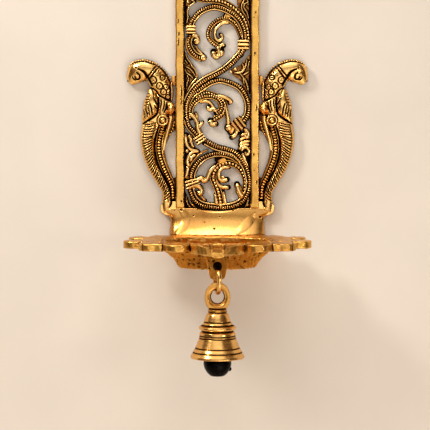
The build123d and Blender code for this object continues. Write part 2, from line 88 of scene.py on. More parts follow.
class Graph:
    """A node tree with one method that adds any node."""

    def __init__(self, tree: bpy.types.NodeTree) -> None:
        """Empties the tree and keeps it."""
        self.tree = tree
        tree.nodes.clear()

    def node(self, kind: str, inputs: Optional[dict] = None, **settings: Any) -> bpy.types.Node:
        """Adds a node.

        Args:
            kind: the node's type name.
            inputs: numbers, sockets, Values or nodes, which stand for their first output, by the name
                or index of the socket that they feed.
            settings: its properties.

        Returns:
            The new node.
        """
        made = self.tree.nodes.new(kind)
        for key, value in settings.items():
            setattr(made, key, value)
        for key, value in (inputs or {}).items():
            socket = self.find(made.inputs, key)
            value = value.socket if isinstance(value, Value) else value
            value = value.outputs[0] if isinstance(value, bpy.types.Node) else value
            if isinstance(value, bpy.types.NodeSocket):
                self.tree.links.new(value, socket)
            else:
                socket.default_value = value
        return made

    @staticmethod
    def find(sockets: Any, key: Union[str, int]) -> bpy.types.NodeSocket:
        """The socket of a name that is in use, or of an index."""
        if isinstance(key, int):
            return sockets[key]
        return next(s for s in sockets if s.enabled and key in (s.name, s.identifier))

    def value(self, node: bpy.types.Node, key: Union[str, int] = 0) -> "Value":
        """An output of a node as a Value."""
        return Value(self, self.find(node.outputs, key))

    def mix(self, share: Any, first: Any, second: Any) -> bpy.types.NodeSocket:
        """Two colours mixed by a share."""
        pair = {"Factor": share, "A": colour4(first), "B": colour4(second)}
        made = self.node("ShaderNodeMix", pair, data_type="RGBA", clamp_factor=True)
        return self.find(made.outputs, "Result")

    def noise(self, place: Any, scale: float, detail: float) -> "Value":
        """Noise from 0 to 1, with its scale in waves a millimetre."""
        kept = {"Vector": place, "Scale": scale / MM, "Detail": detail, "Roughness": 0.55}
        return self.value(self.node("ShaderNodeTexNoise", kept), "Fac").ramp(0.28, 0.72)

    def bump(self, strength: float, reach: float, height: "Value") -> bpy.types.Node:
        """The normal of a bumpy skin, with its reach in millimetres."""
        return self.node("ShaderNodeBump", {"Strength": strength, "Distance": reach * MM, "Height": height})


class Value:
    """A number socket whose operators add Math nodes."""

    def __init__(self, graph: Graph, socket: bpy.types.NodeSocket) -> None:
        """Keeps the socket and its graph."""
        self.graph = graph
        self.socket = socket

    def math(self, operation: str, *values: Any) -> "Value":
        """A Math node on these values.

        Args:
            operation: the node's operation.
            values: its inputs in order, one of which is usually this Value.

        Returns:
            The node's result.
        """
        made = self.graph.node("ShaderNodeMath", dict(enumerate(values)), operation=operation)
        return self.graph.value(made)

    def __add__(self, other: Any) -> "Value":
        """Sum."""
        return self.math("ADD", self, other)

    __radd__ = __add__

    def __sub__(self, other: Any) -> "Value":
        """Difference."""
        return self.math("SUBTRACT", self, other)

    def __rsub__(self, other: Any) -> "Value":
        """Difference the other way round."""
        return self.math("SUBTRACT", other, self)

    def __mul__(self, other: Any) -> "Value":
        """Product."""
        return self.math("MULTIPLY", self, other)

    __rmul__ = __mul__

    def __truediv__(self, other: Any) -> "Value":
        """Quotient."""
        return self.math("DIVIDE", self, other)

    def __pow__(self, other: Any) -> "Value":
        """Power."""
        return self.math("POWER", self, other)

    def at_least(self, other: Any) -> "Value":
        """The larger of two values."""
        return self.math("MAXIMUM", self, other)

    def at_most(self, other: Any) -> "Value":
        """The smaller of two values."""
        return self.math("MINIMUM", self, other)

    def ramp(self, low: float, high: float) -> "Value":
        """A smooth step from 0 at low to 1 at high."""
        limits = {"Value": self, "From Min": low, "From Max": high}
        made = self.graph.node("ShaderNodeMapRange", limits, interpolation_type="SMOOTHSTEP")
        return self.graph.value(made)


def colour4(colour: Any) -> Any:
    """A colour with its alpha, or a socket as it is."""
    return (*colour, 1.0) if isinstance(colour, tuple) else colour


def blank(name: str) -> tuple[bpy.types.Material, Graph, bpy.types.NodeSocket]:
    """A new material, its empty graph and the object coordinates in it."""
    material = bpy.data.materials.new(name)
    material.use_nodes = True
    graph = Graph(material.node_tree)
    return material, graph, graph.find(graph.node("ShaderNodeTexCoord").outputs, "Object")


@dataclass(frozen=True)
class Brass:
    """Cast brass, bright where hands and cloths reach it, brown lower down and black in its recesses.

    Lengths are in millimetres. wear_back and wear_front are the depths, towards the viewer, between
    which the relief goes from dull dark brass to bright with wear, and edge tints what shines at a low
    angle. The black in the recesses is patina together with painted shade from ambient occlusion.
    """

    name: str
    slot: str
    bright: Colour = (0.70, 0.385, 0.070)
    mellow: Colour = (0.52, 0.235, 0.034)
    deep: Colour = (0.26, 0.085, 0.009)
    # darkest colour: patina in the recesses together with painted shade
    tarnish_and_shade: Colour = (0.005, 0.002, 0.0007)
    # pale colour of a painted highlight, and how much of it the raised peaks get
    painted_highlight: Colour = (1.0, 0.70, 0.27)
    painted_highlight_share: float = 0.0
    mottle: float = 0.35
    polish: float = 0.25
    dullness: float = 0.55
    coat: float = 0.55
    coat_haze: float = 0.22
    shine: float = 0.25
    edge: Colour = (1.0, 0.74, 0.40)
    # reach in millimetres and power of the ambient occlusion that paints shade into the colour of recesses
    crevice: float = 1.6
    crevice_power: float = 1.8
    # where the share of light and wear starts and ends its step from dark to bright
    lit_wear_low: float = 0.16
    lit_wear_high: float = 0.74
    wear_back: float = 0.0
    wear_front: float = 0.0
    pit_spacing: float = 5.0
    pit_share: float = 0.08
    pit_reach: float = 0.12
    grain: float = 0.35
    scratch_turn: tuple[float, float, float] = (1.0, 1.0, 0.06)
    bump: float = 0.14
    bump_reach: float = 0.30

    def build(self) -> bpy.types.Material:
        """Makes the material.

        Returns:
            A material that reads object coordinates and the relief attribute.
        """
        material, graph, place = blank(self.name)
        axes = graph.node("ShaderNodeSeparateXYZ", {0: place})
        relief = graph.value(graph.node("ShaderNodeAttribute", attribute_name="relief"), "Fac")
        shade = graph.noise(place, 0.045, 3.0)
        cloud = graph.noise(place, 0.35, 4.0)
        grit = graph.noise(place, 3.2, 3.0)
        turned = graph.node("ShaderNodeVectorMath", {0: place, 1: self.scratch_turn}, operation="MULTIPLY")
        hair = graph.noise(turned, 4.5, 2.0)
        pits = self.pits(graph, place)
        reach = {"Distance": self.crevice * MM}
        shut = graph.value(graph.node("ShaderNodeAmbientOcclusion", reach, samples=8), "AO")
        height = relief
        if self.wear_front:
            depth = graph.value(axes, "Y") * (-1.0 / MM)
            height = height * (0.06 + 0.94 * depth.ramp(self.wear_back, self.wear_front))
        # painted shade: ambient occlusion darkens the colour in recesses, on top of the relief, wear and
        # patina
        lit_and_worn = height * shut ** self.crevice_power * 1.25 + (cloud - 0.5) * 0.16
        lit_and_worn = lit_and_worn.at_least(0.0).at_most(1.0)
        lit_and_rubbed = lit_and_worn.ramp(self.lit_wear_low, self.lit_wear_high) * (1.0 - pits * 0.95)
        patch = (shade - 0.5) * 1.2 + (cloud - 0.5) * self.mottle + 0.34
        metal = graph.mix(patch, self.bright, self.mellow)
        # painted highlight: raised peaks away from occluded recesses are mixed towards a pale colour
        if self.painted_highlight_share:
            painted_highlight_mask = height.ramp(0.78, 0.98) * shut.ramp(0.45, 0.90)
            metal = graph.mix(painted_highlight_mask * self.painted_highlight_share, metal, self.painted_highlight)
        # the darkest parts take the colour of patina and painted shade
        low = graph.mix(lit_and_rubbed.ramp(0.0, 0.55), self.tarnish_and_shade, self.deep)
        colour = graph.mix(lit_and_rubbed.ramp(0.30, 0.95), low, metal)
        rough = (self.dullness - lit_and_rubbed * (self.dullness - self.polish)
                 + (cloud - 0.5) * 0.07 + (hair - 0.5) * 0.10).at_least(0.08)
        swell = ((grit - 0.5) * self.grain + (hair - 0.5) * self.grain * 0.5
                 + (cloud - 0.5) * 0.35 - pits * 1.6)
        shader = graph.node("ShaderNodeBsdfPrincipled", {
            "Base Color": colour, "Metallic": lit_and_rubbed * 0.20 + 0.80, "Roughness": rough,
            "Normal": graph.bump(self.bump, self.bump_reach, swell), "Specular IOR Level": self.shine,
            "Coat Weight": lit_and_rubbed * self.coat, "Coat Roughness": self.coat_haze,
            "Specular Tint": colour4(self.edge)})
        graph.node("ShaderNodeOutputMaterial", {"Surface": shader})
        return material

    def pits(self, graph: Graph, place: bpy.types.NodeSocket) -> Value:
        """Small casting pits, 1 inside a pit and 0 outside."""
        scale = 1.0 / (self.pit_spacing * MM)
        cells = graph.node("ShaderNodeTexVoronoi", {"Vector": place, "Scale": scale, "Randomness": 1.0})
        tint = graph.find(cells.outputs, "Color")
        lottery = graph.value(graph.node("ShaderNodeSeparateColor", {0: tint}))
        edge = (graph.noise(place, 1.3, 2.0) - 0.5) * self.pit_reach
        near = 1.0 - (graph.value(cells, "Distance") + edge).ramp(self.pit_reach * 0.4, self.pit_reach)
        return near * (1.0 - lottery.ramp(self.pit_share - 0.01, self.pit_share + 0.01))


@dataclass(frozen=True)
class Lacquer:
    """Smooth dark paint with a soft gloss and a few dusty scuffs."""

    name: str = "black_lacquer_paint"
    slot: str = "black_lacquer"
    paint: Colour = (0.0009, 0.0006, 0.0004)
    dust: Colour = (0.002, 0.0012, 0.0007)
    gloss: float = 0.10

    def build(self) -> bpy.types.Material:
        """Makes the material."""
        material, graph, place = blank(self.name)
        scuff = graph.noise(place, 0.5, 5.0)
        fine = graph.noise(place, 3.0, 3.0)
        shader = graph.node("ShaderNodeBsdfPrincipled", {
            "Base Color": graph.mix(scuff.ramp(0.55, 1.0) * 0.5, self.paint, self.dust),
            "Roughness": scuff * 0.2 + self.gloss, "Normal": graph.bump(0.12, 0.2, fine + scuff),
            "Specular IOR Level": 0.045})
        graph.node("ShaderNodeOutputMaterial", {"Surface": shader})
        return material


@dataclass(frozen=True)
class Plaster:
    """Matt painted wall, which is see-through from behind."""

    name: str = "wall_plaster"
    paint: Colour = (0.775, 0.710, 0.645)

    def build(self) -> bpy.types.Material:
        """Makes the material."""
        material, graph, place = blank(self.name)
        patch = graph.noise(place, 0.012, 3.0)
        fine = graph.noise(place, 0.9, 4.0)
        darker = tuple(0.95 * part for part in self.paint)
        matt = graph.node("ShaderNodeBsdfPrincipled", {
            "Base Color": graph.mix(patch, self.paint, darker), "Roughness": 0.9,
            "Normal": graph.bump(0.06, 0.4, fine)})
        clear = graph.node("ShaderNodeBsdfTransparent")
        back = graph.find(graph.node("ShaderNodeNewGeometry").outputs, "Backfacing")
        shader = graph.node("ShaderNodeMixShader", {0: back, 1: matt, 2: clear})
        graph.node("ShaderNodeOutputMaterial", {"Surface": shader})
        return material


class Finish(Enum):
    """The finishes of the lamp."""

    # RELIEF, BIRD and TURNED paint a pale highlight into the colour of their raised peaks
    RELIEF = Brass("antique_relief_brass", "antique_brass", bright=(0.90, 0.485, 0.10),
                   mellow=(0.58, 0.235, 0.028), painted_highlight_share=0.70, wear_back=2.0, wear_front=3.7,
                   crevice=1.0, crevice_power=1.6, polish=0.21, lit_wear_low=0.24, lit_wear_high=0.84)
    BIRD = Brass("antique_bird_brass", "antique_brass", bright=(0.92, 0.50, 0.10),
                 mellow=(0.62, 0.26, 0.031), painted_highlight_share=0.50, wear_back=0.8, wear_front=4.6,
                 crevice=1.2, crevice_power=1.6, polish=0.20, lit_wear_low=0.20, lit_wear_high=0.80)
    RAIL = Brass("rubbed_rail_brass", "burnished_brass", bright=(0.76, 0.43, 0.085),
                 mellow=(0.58, 0.28, 0.042), polish=0.27, pit_share=0.10, crevice=1.0, crevice_power=1.0)
    DISH = Brass("rubbed_dish_brass", "burnished_brass", polish=0.31, crevice_power=1.4, pit_share=0.14,
                 scratch_turn=(0.06, 1.0, 1.0))
    SCOOP = Brass("polished_scoop_brass", "burnished_brass", bright=(0.64, 0.33, 0.066),
                  mellow=(0.52, 0.22, 0.030), polish=0.30, coat=0.85, crevice_power=1.4, pit_share=0.16,
                  scratch_turn=(0.06, 1.0, 1.0))
    TURNED = Brass("turned_bell_brass", "burnished_brass", bright=(0.78, 0.42, 0.096),
                   mellow=(0.54, 0.23, 0.030), polish=0.25, crevice=1.1, pit_share=0.02, coat=0.7,
                   painted_highlight_share=0.20, scratch_turn=(0.05, 0.05, 1.0), grain=0.08, bump=0.05)
    ROUGH = Brass("rough_sand_brass", "sand_cast_brass", bright=(1.0, 0.54, 0.105),
                  mellow=(0.84, 0.38, 0.052), polish=0.34, dullness=0.60, grain=2.6, bump=1.0,
                  mottle=1.7, pit_spacing=3.4, pit_share=0.60, pit_reach=0.38, coat=0.0, lit_wear_high=1.0)
    PAINT = Lacquer()

    def material(self) -> bpy.types.Material:
        """The finish's material, which is made when it is first asked for."""
        found = bpy.data.materials.get(self.value.name)
        return found or self.value.build()


def smooth_line(points: Rows, spacing: float) -> np.ndarray:
    """Evenly spaced rows along a smooth curve.

    Args:
        points: rows of across, up and any further values, such as a half width.
        spacing: step along the curve.

    Returns:
        An array with a row for each step.
    """
    rows = np.array(points, float)
    if len(rows) > 2:
        ends = (2 * rows[0] - rows[1], 2 * rows[-1] - rows[-2])
        padded = np.vstack((ends[0], rows, ends[1]))
        steps = np.linspace(0, 1, 12, endpoint=False)[:, None]
        spans = []
        for before, start, end, after in zip(padded, padded[1:], padded[2:], padded[3:]):
            slope = (end - before) / 2
            next_slope = (after - start) / 2
            bend = 3 * (end - start) - 2 * slope - next_slope
            twist = 2 * (start - end) + slope + next_slope
            spans.append(start + slope * steps + bend * steps ** 2 + twist * steps ** 3)
        rows = np.vstack((*spans, rows[-1]))
    run = np.concatenate(([0.0], np.cumsum(np.hypot(*np.diff(rows[:, :2], axis=0).T))))
    count = max(2, int(round(run[-1] / spacing)) + 1)
    even = np.linspace(0, run[-1], count)
    return np.column_stack([np.interp(even, run, column) for column in rows.T])


def sideways(line: np.ndarray) -> np.ndarray:
    """Unit vectors to the left along a line of rows."""
    ahead = np.gradient(line[:, :2], axis=0)
    ahead /= np.maximum(np.hypot(*ahead.T), 1e-9)[:, None]
    return np.column_stack((-ahead[:, 1], ahead[:, 0]))


def circle(count: int, closed: bool = True) -> np.ndarray:
    """Points round the unit circle; a closed one ends where it starts."""
    turn = np.linspace(0, 2 * math.pi, count, endpoint=closed)
    return np.column_stack((np.cos(turn), np.sin(turn)))


def lifted(line: np.ndarray, depth: Any, *more: Any) -> np.ndarray:
    """Rows of x, y and z from rows of across and up.

    Args:
        line: rows that start with across and up.
        depth: the y of all rows, or one for each.
        more: further columns, each one number for all rows or one for each.

    Returns:
        The rows.
    """
    columns = (line[:, 0], depth, line[:, 1], *more)
    return np.column_stack([np.broadcast_to(column, len(line)) for column in columns])


class Shape:
    """Points and faces in millimetres, gathered before they become one mesh."""

    def __init__(self) -> None:
        """Starts empty."""
        self.points: list[np.ndarray] = []
        self.faces: list[list[int]] = []
        self.count = 0

    def add(self, points: np.ndarray, faces: Sequence[Sequence[int]]) -> None:
        """Adds points and the faces between them."""
        self.points.append(np.asarray(points, float))
        self.faces += [[index + self.count for index in face] for face in faces]
        self.count += len(points)

    def loft(self, rings: Sequence[np.ndarray]) -> None:
        """Adds a closed tube through rings of as many points each, with flat ends."""
        size = len(rings[0])
        faces = [list(range(size))[::-1]]
        for row in range(len(rings) - 1):
            for spot in range(size):
                after = (spot + 1) % size
                corners = ((row, spot), (row, after), (row + 1, after), (row + 1, spot))
                faces.append([ring * size + corner for ring, corner in corners])
        last = (len(rings) - 1) * size
        faces.append(list(range(last, last + size)))
        self.add(np.vstack(rings), faces)

    def band(self, points: Rows, back: float, front: float, round_ends: bool = True) -> None:
        """Adds a flat band along rows of across, up and half width, between two depths."""
        line = smooth_line(points, 0.7)
        side = sideways(line)
        rings = []
        for place, half, turn in zip(line[:, :2], line[:, 2], side):
            left, right = place + turn * half, place - turn * half
            rings.append(np.array([(left[0], back, left[1]), (left[0], front, left[1]),
                                   (right[0], front, right[1]), (right[0], back, right[1])]))
        self.loft(rings)
        for row in (line[0], line[-1]) if round_ends else ():
            self.disc(row[0], row[1], row[2], back, front)

    def disc(self, across: float, up: float, radius: float, back: float, front: float) -> None:
        """Adds a flat round plate between two depths."""
        self.plate(circle(24, closed=False) * radius + (across, up), back, front)

    def plate(self, outline: Rows, back: float, front: float) -> None:
        """Adds a flat plate of an outline given as across and up, between two depths."""
        ring = np.array(outline, float)
        self.loft([lifted(ring, back), lifted(ring, front)])

    def limb(self, points: Rows, back: float, fullness: float) -> None:
        """Adds a rounded limb with a flat back.

        Args:
            points: rows of across, up, half width and height above the back.
            back: depth of the flat back.
            fullness: power of the section's round, where less is squarer.
        """
        line = smooth_line(points, 0.6)
        section = circle(24, closed=False)
        rise = np.maximum(section[:, 1], 0) ** fullness
        self.loft([lifted(row[:2] + turn * (section[:, :1] * row[2]), back - rise * row[3])
                   for row, turn in zip(line, sideways(line))])

    def mesh(self, name: str) -> bpy.types.Mesh:
        """The gathered shape as a mesh in metres, with faces that point outwards."""
        made = bpy.data.meshes.new(name)
        made.from_pydata((np.vstack(self.points) * MM).tolist(), [], self.faces)
        edit = bmesh.new()
        edit.from_mesh(made)
        bmesh.ops.recalc_face_normals(edit, faces=edit.faces)
        bmesh.ops.triangulate(edit, faces=[face for face in edit.faces if len(face.verts) > 4])
        edit.to_mesh(made)
        edit.free()
        return made


FACING = 0.12  # how far a point's normal has to turn to the viewer for carving
OUTLINE = 0.34  # width of the dark grooves beside raised strokes, in millimetres
CORE = 0.86  # share of a raised stroke's half width that stays out of those grooves


@dataclass
class Stroke:
    """A line cut into a surface, or raised from it when its depth is below zero."""

    points: Rows
    half: float
    depth: float
    taper: float = 0.0


class Seen(Enum):
    """The way a relief is looked at: the two axes of its drawing and the axis that sinks."""

    FRONT = (0, 2, 1, 1.0)
    ABOVE = (0, 1, 2, -1.0)


def point_rows(mesh: bpy.types.Mesh, kind: str = "co") -> np.ndarray:
    """The places, or the normals, of a mesh's points."""
    rows = np.empty(len(mesh.vertices) * 3, np.float32)
    mesh.vertices.foreach_get(kind, rows)
    return rows.reshape(-1, 3)


def move_points(mesh: bpy.types.Mesh, rows: np.ndarray) -> None:
    """Puts a mesh's points in new places."""
    mesh.vertices.foreach_set("co", np.ascontiguousarray(rows, np.float32).ravel())
    mesh.update()


def carve(mesh: bpy.types.Mesh, strokes: Sequence[Stroke], seen: Seen = Seen.FRONT, ground: float = 1.0,
          outline: float = 0.0, before: float = 1e3) -> None:
    """Cuts and raises strokes on a fine mesh and writes its relief attribute.

    Args:
        mesh: mesh in metres, changed in place.
        strokes: the lines, in millimetres in the drawing's two axes.
        seen: which way the drawing faces.
        ground: relief of what no stroke reaches, from 0, dark, to 1, bright.
        outline: depth of the dark grooves on both sides of raised strokes, in millimetres.
        before: what lies beyond this along the axis that sinks stays as it is.
    """
    first, second, sink, sign = seen.value
    size = len(mesh.vertices)
    places = point_rows(mesh).astype(float) / MM
    front = (point_rows(mesh, "normal")[:, sink] * sign < -FACING) & (places[:, sink] < before)
    flat = places[:, (first, second)]
    relief = np.where(front, ground, 1.0)
    moved = np.zeros(size)
    core, rim = np.zeros(size, bool), np.zeros(size, bool)
    for stroke in strokes:
        line = smooth_line(stroke.points, max(0.25, stroke.half * 0.6))[:, :2]
        reach = stroke.half * (1.5 if outline and stroke.depth < 0 else 1.0)
        low, high = line.min(0) - reach, line.max(0) + reach
        near = np.flatnonzero(front & (flat >= low).all(1) & (flat <= high).all(1))
        if not len(near):
            continue
        starts, spans = line[:-1], np.diff(line, axis=0)
        offset = flat[near][:, None, :] - starts[None]
        along = np.clip((offset * spans).sum(2) / np.maximum((spans ** 2).sum(1), 1e-9), 0, 1)
        away = np.hypot(*np.moveaxis(offset - along[..., None] * spans, 2, 0))
        nearest = away.argmin(1)
        gap = away[np.arange(len(near)), nearest]
        share = (nearest + along[np.arange(len(near)), nearest]) / len(starts)
        half = stroke.half * (1 - stroke.taper * np.abs(2 * share - 1) ** 2)
        lift = np.clip(1 - (gap / np.maximum(half, 1e-6)) ** 2, 0, 1)
        if stroke.depth > 0:
            moved[near] = np.maximum(moved[near], lift * stroke.depth)
            relief[near] = np.minimum(relief[near], 1 - np.minimum(1, 1.4 * lift))
        else:
            moved[near] = np.where(moved[near] > 0, moved[near],
                                   np.minimum(moved[near], lift * stroke.depth))
            relief[near] = np.maximum(relief[near], np.minimum(1, 1.9 * lift ** 0.7))
            core[near] |= gap < CORE * half
            rim[near] |= gap < half + OUTLINE
    if outline:
        dark = rim & ~core
        relief[dark] = 0.0
        moved[dark] = outline
    if "relief" in mesh.attributes:
        kept = np.empty(size, np.float32)
        mesh.attributes["relief"].data.foreach_get("value", kept)
        relief = np.minimum(relief, kept)
    places[:, sink] += moved * sign
    move_points(mesh, places * MM)
    write_relief(mesh, relief)


def write_relief(mesh: bpy.types.Mesh, relief: Union[float, np.ndarray] = 1.0) -> None:
    """Writes the relief attribute of a mesh, one number for all or one for each point."""
    attribute = mesh.attributes.get("relief") or mesh.attributes.new("relief", "FLOAT", "POINT")
    values = np.broadcast_to(np.asarray(relief, np.float32), (len(mesh.vertices),))
    attribute.data.foreach_set("value", np.ascontiguousarray(values))
    mesh.update()


def placed(name: str, data: Any) -> bpy.types.Object:
    """A new object in the scene."""
    made = bpy.data.objects.new(name, data)
    bpy.context.scene.collection.objects.link(made)
    return made


def plain_mesh(holder: bpy.types.Object, name: str) -> bpy.types.Mesh:
    """The result of an object's modifiers as a mesh of its own; the object is removed."""
    bpy.context.view_layer.update()
    graph = bpy.context.evaluated_depsgraph_get()
    made = bpy.data.meshes.new_from_object(holder.evaluated_get(graph), depsgraph=graph)
    made.name = name
    bpy.data.objects.remove(holder)
    return made


def held(mesh: bpy.types.Mesh) -> bpy.types.Object:
    """A short-lived object that holds a mesh while modifiers run."""
    return placed(mesh.name + "_holder", mesh)


def cast(mesh: bpy.types.Mesh, grain: float, rounds: int = 2) -> bpy.types.Mesh:
    """Melts overlapping closed shapes into one skin with soft edges.

    Args:
        mesh: the shapes.
        grain: size of the skin's faces in millimetres.
        rounds: how often the skin is smoothed.

    Returns:
        One closed mesh.
    """
    holder = held(mesh)
    skin = holder.modifiers.new("skin", "REMESH")
    skin.mode = "VOXEL"
    skin.voxel_size = grain * MM
    soften = holder.modifiers.new("soften", "SMOOTH")
    soften.factor = 0.5
    soften.iterations = rounds
    return plain_mesh(holder, mesh.name)


def dented(mesh: bpy.types.Mesh, amount: float, spacing: float = 7.0) -> bpy.types.Mesh:
    """Gives a cast skin the slight dents of hand work, as deep as amount and about spacing apart."""
    places = point_rows(mesh)
    waves = np.zeros(len(places))
    for turn, stretch in ((0.3, 1.0), (1.9, 1.37), (3.4, 1.81), (4.6, 2.6)):
        heading = np.array((math.cos(turn), math.sin(2.1 * turn), math.sin(turn)))
        heading *= 2 * math.pi * stretch / spacing
        waves += np.sin(places @ heading / MM + 3.1 * turn) / stretch
    move_points(mesh, places + point_rows(mesh, "normal") * (waves * amount * MM / 2.2)[:, None])
    return mesh


def warped(mesh: bpy.types.Mesh, move: Callable[[np.ndarray], None]) -> bpy.types.Mesh:
    """Moves the points of a mesh by a function that changes their places in millimetres."""
    rows = point_rows(mesh) / MM
    move(rows)
    move_points(mesh, rows * MM)
    return mesh


def baked(edit: bmesh.types.BMesh, name: str) -> bpy.types.Mesh:
    """A new mesh from an edited one, which is freed."""
    made = bpy.data.meshes.new(name)
    edit.to_mesh(made)
    edit.free()
    return made


def joined(name: str, meshes: Sequence[bpy.types.Mesh]) -> bpy.types.Mesh:
    """One mesh that holds several, with their relief attributes."""
    edit = bmesh.new()
    for mesh in meshes:
        edit.from_mesh(mesh)
    return baked(edit, name)


def mirrored(mesh: bpy.types.Mesh, name: str) -> bpy.types.Mesh:
    """A copy of a mesh on the other side of x = 0, with its faces turned back outwards."""
    edit = bmesh.new()
    edit.from_mesh(mesh)
    for vertex in edit.verts:
        vertex.co.x = -vertex.co.x
    bmesh.ops.reverse_faces(edit, faces=edit.faces)
    return baked(edit, name)


def cad_mesh(node: str, name: str) -> bpy.types.Mesh:
    """A welded copy of a CAD node's mesh."""
    edit = bmesh.new()
    edit.from_mesh(frame["nodes"][node].data)
    bmesh.ops.remove_doubles(edit, verts=edit.verts, dist=0.002 * MM)
    return baked(edit, name)


def piece(name: str, mesh: bpy.types.Mesh, finish: Finish, body: str, *nodes: str) -> bpy.types.Object:
    """Puts a finished mesh into the scene as a piece of the lamp.

    Args:
        name: name of the piece.
        mesh: its mesh, in place.
        finish: what it is dressed in.
        body: the CAD body it rides on.
        nodes: the CAD nodes it stands for.

    Returns:
        The new object.
    """
    if "relief" not in mesh.attributes:
        write_relief(mesh)
    low, high = (np.array(corner) / MM for corner in cad_box)
    warped(mesh, lambda places: np.clip(places, low, high, out=places))
    mesh.materials.clear()
    mesh.materials.append(finish.material())
    mesh.polygons.foreach_set("use_smooth", np.ones(len(mesh.polygons), bool))
    made = placed(name, mesh)
    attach(made, body)
    if nodes:
        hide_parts(*nodes)
    log.info("%s: %d faces, rides on %s", name, len(mesh.polygons), body)
    return made


def dress(node: str, finish: Finish) -> None:
    """Gives a CAD node that stays a finish."""
    mesh = frame["nodes"][node].data
    mesh.materials.clear()
    mesh.materials.append(finish.material())
    write_relief(mesh)
    log.info("%s: dressed as %s", node, finish.value.name)


class PathTree:
    """A Geometry Nodes tree that turns wires into parts, with named inputs."""

    def __init__(self, name: str, sizes: dict[str, float]) -> None:
        """Makes the tree.

        Args:
            name: name of the tree.
            sizes: named inputs and their defaults, in metres or as shares.
        """
        self.tree = bpy.data.node_groups.new(name, "GeometryNodeTree")
        self.graph = Graph(self.tree)
        self.tree.interface.new_socket("Wires", in_out="INPUT", socket_type="NodeSocketGeometry")
        self.keys: dict[str, str] = {}
        for size, default in sizes.items():
            socket = self.tree.interface.new_socket(size, in_out="INPUT", socket_type="NodeSocketFloat")
            socket.default_value = default
            self.keys[size] = socket.identifier
        socket = self.tree.interface.new_socket("Finish", in_out="INPUT", socket_type="NodeSocketMaterial")
        self.keys["Finish"] = socket.identifier
        self.tree.interface.new_socket("Parts", in_out="OUTPUT", socket_type="NodeSocketGeometry")
        self.entry = self.graph.node("NodeGroupInput")

    def size(self, name: str) -> Value:
        """A named input as a Value."""
        return self.graph.value(self.entry, name)

    def named(self, name: str) -> Value:
        """A number that the wires carry under a name."""
        reader = self.graph.node("GeometryNodeInputNamedAttribute", {"Name": name}, data_type="FLOAT")
        return self.graph.value(reader, "Attribute")

    def curves(self) -> bpy.types.Node:
        """The wires as curves."""
        wires = self.graph.find(self.entry.outputs, "Wires")
        return self.graph.node("GeometryNodeMeshToCurve", {"Mesh": wires})

    def store(self, geometry: bpy.types.Node, relief: Any, domain: str = "POINT") -> bpy.types.Node:
        """Keeps a relief value on a geometry."""
        kept = {"Geometry": geometry, "Name": "relief", "Value": relief}
        return self.graph.node("GeometryNodeStoreNamedAttribute", kept, data_type="FLOAT", domain=domain)

    def close(self, geometry: bpy.types.Node) -> "PathTree":
        """Ends the tree in real geometry with its material."""
        real = self.graph.node("GeometryNodeRealizeInstances", {0: geometry})
        smooth = self.graph.node("GeometryNodeSetShadeSmooth", {0: real})
        finish = self.graph.find(self.entry.outputs, "Finish")
        dressed = self.graph.node("GeometryNodeSetMaterial", {"Geometry": smooth, "Material": finish})
        self.graph.node("NodeGroupOutput", {0: dressed})
        return self

    def run(self, name: str, wires: bpy.types.Mesh, finish: Finish, **sizes: float) -> bpy.types.Mesh:
        """Runs the tree on wires.

        Args:
            name: name of the new mesh.
            wires: mesh of edges that carries the attributes that the tree reads.
            finish: finish of the parts.
            sizes: values for the named inputs, with _ for each space.

        Returns:
            The parts as one plain mesh.
        """
        holder = held(wires)
        modifier = holder.modifiers.new("parts", "NODES")
        modifier.node_group = self.tree
        modifier[self.keys["Finish"]] = finish.material()
        for size, value in sizes.items():
            modifier[self.keys[size.replace("_", " ")]] = float(value)
        return plain_mesh(holder, name)


def wires(name: str, lines: Sequence[np.ndarray], *carried: str) -> bpy.types.Mesh:
    """A mesh of edges along lines.

    Args:
        name: name of the mesh.
        lines: rows of x, y, z and the carried numbers, with lengths in millimetres.
        carried: names of those numbers: half is a length, rise and shade are shares.

    Returns:
        The mesh, with the carried numbers as attributes.
    """
    made = bpy.data.meshes.new(name)
    rows = np.vstack(lines)
    edges = []
    start = 0
    for line in lines:
        edges += [(start + step, start + step + 1) for step in range(len(line) - 1)]
        start += len(line)
    made.from_pydata((rows[:, :3] * MM).tolist(), edges, [])
    for key, numbers in zip(carried, rows.T[3:]):
        attribute = made.attributes.new(key, "FLOAT", "POINT")
        attribute.data.foreach_set("value", (numbers * (MM if key == "half" else 1.0)).astype(np.float32))
    return made


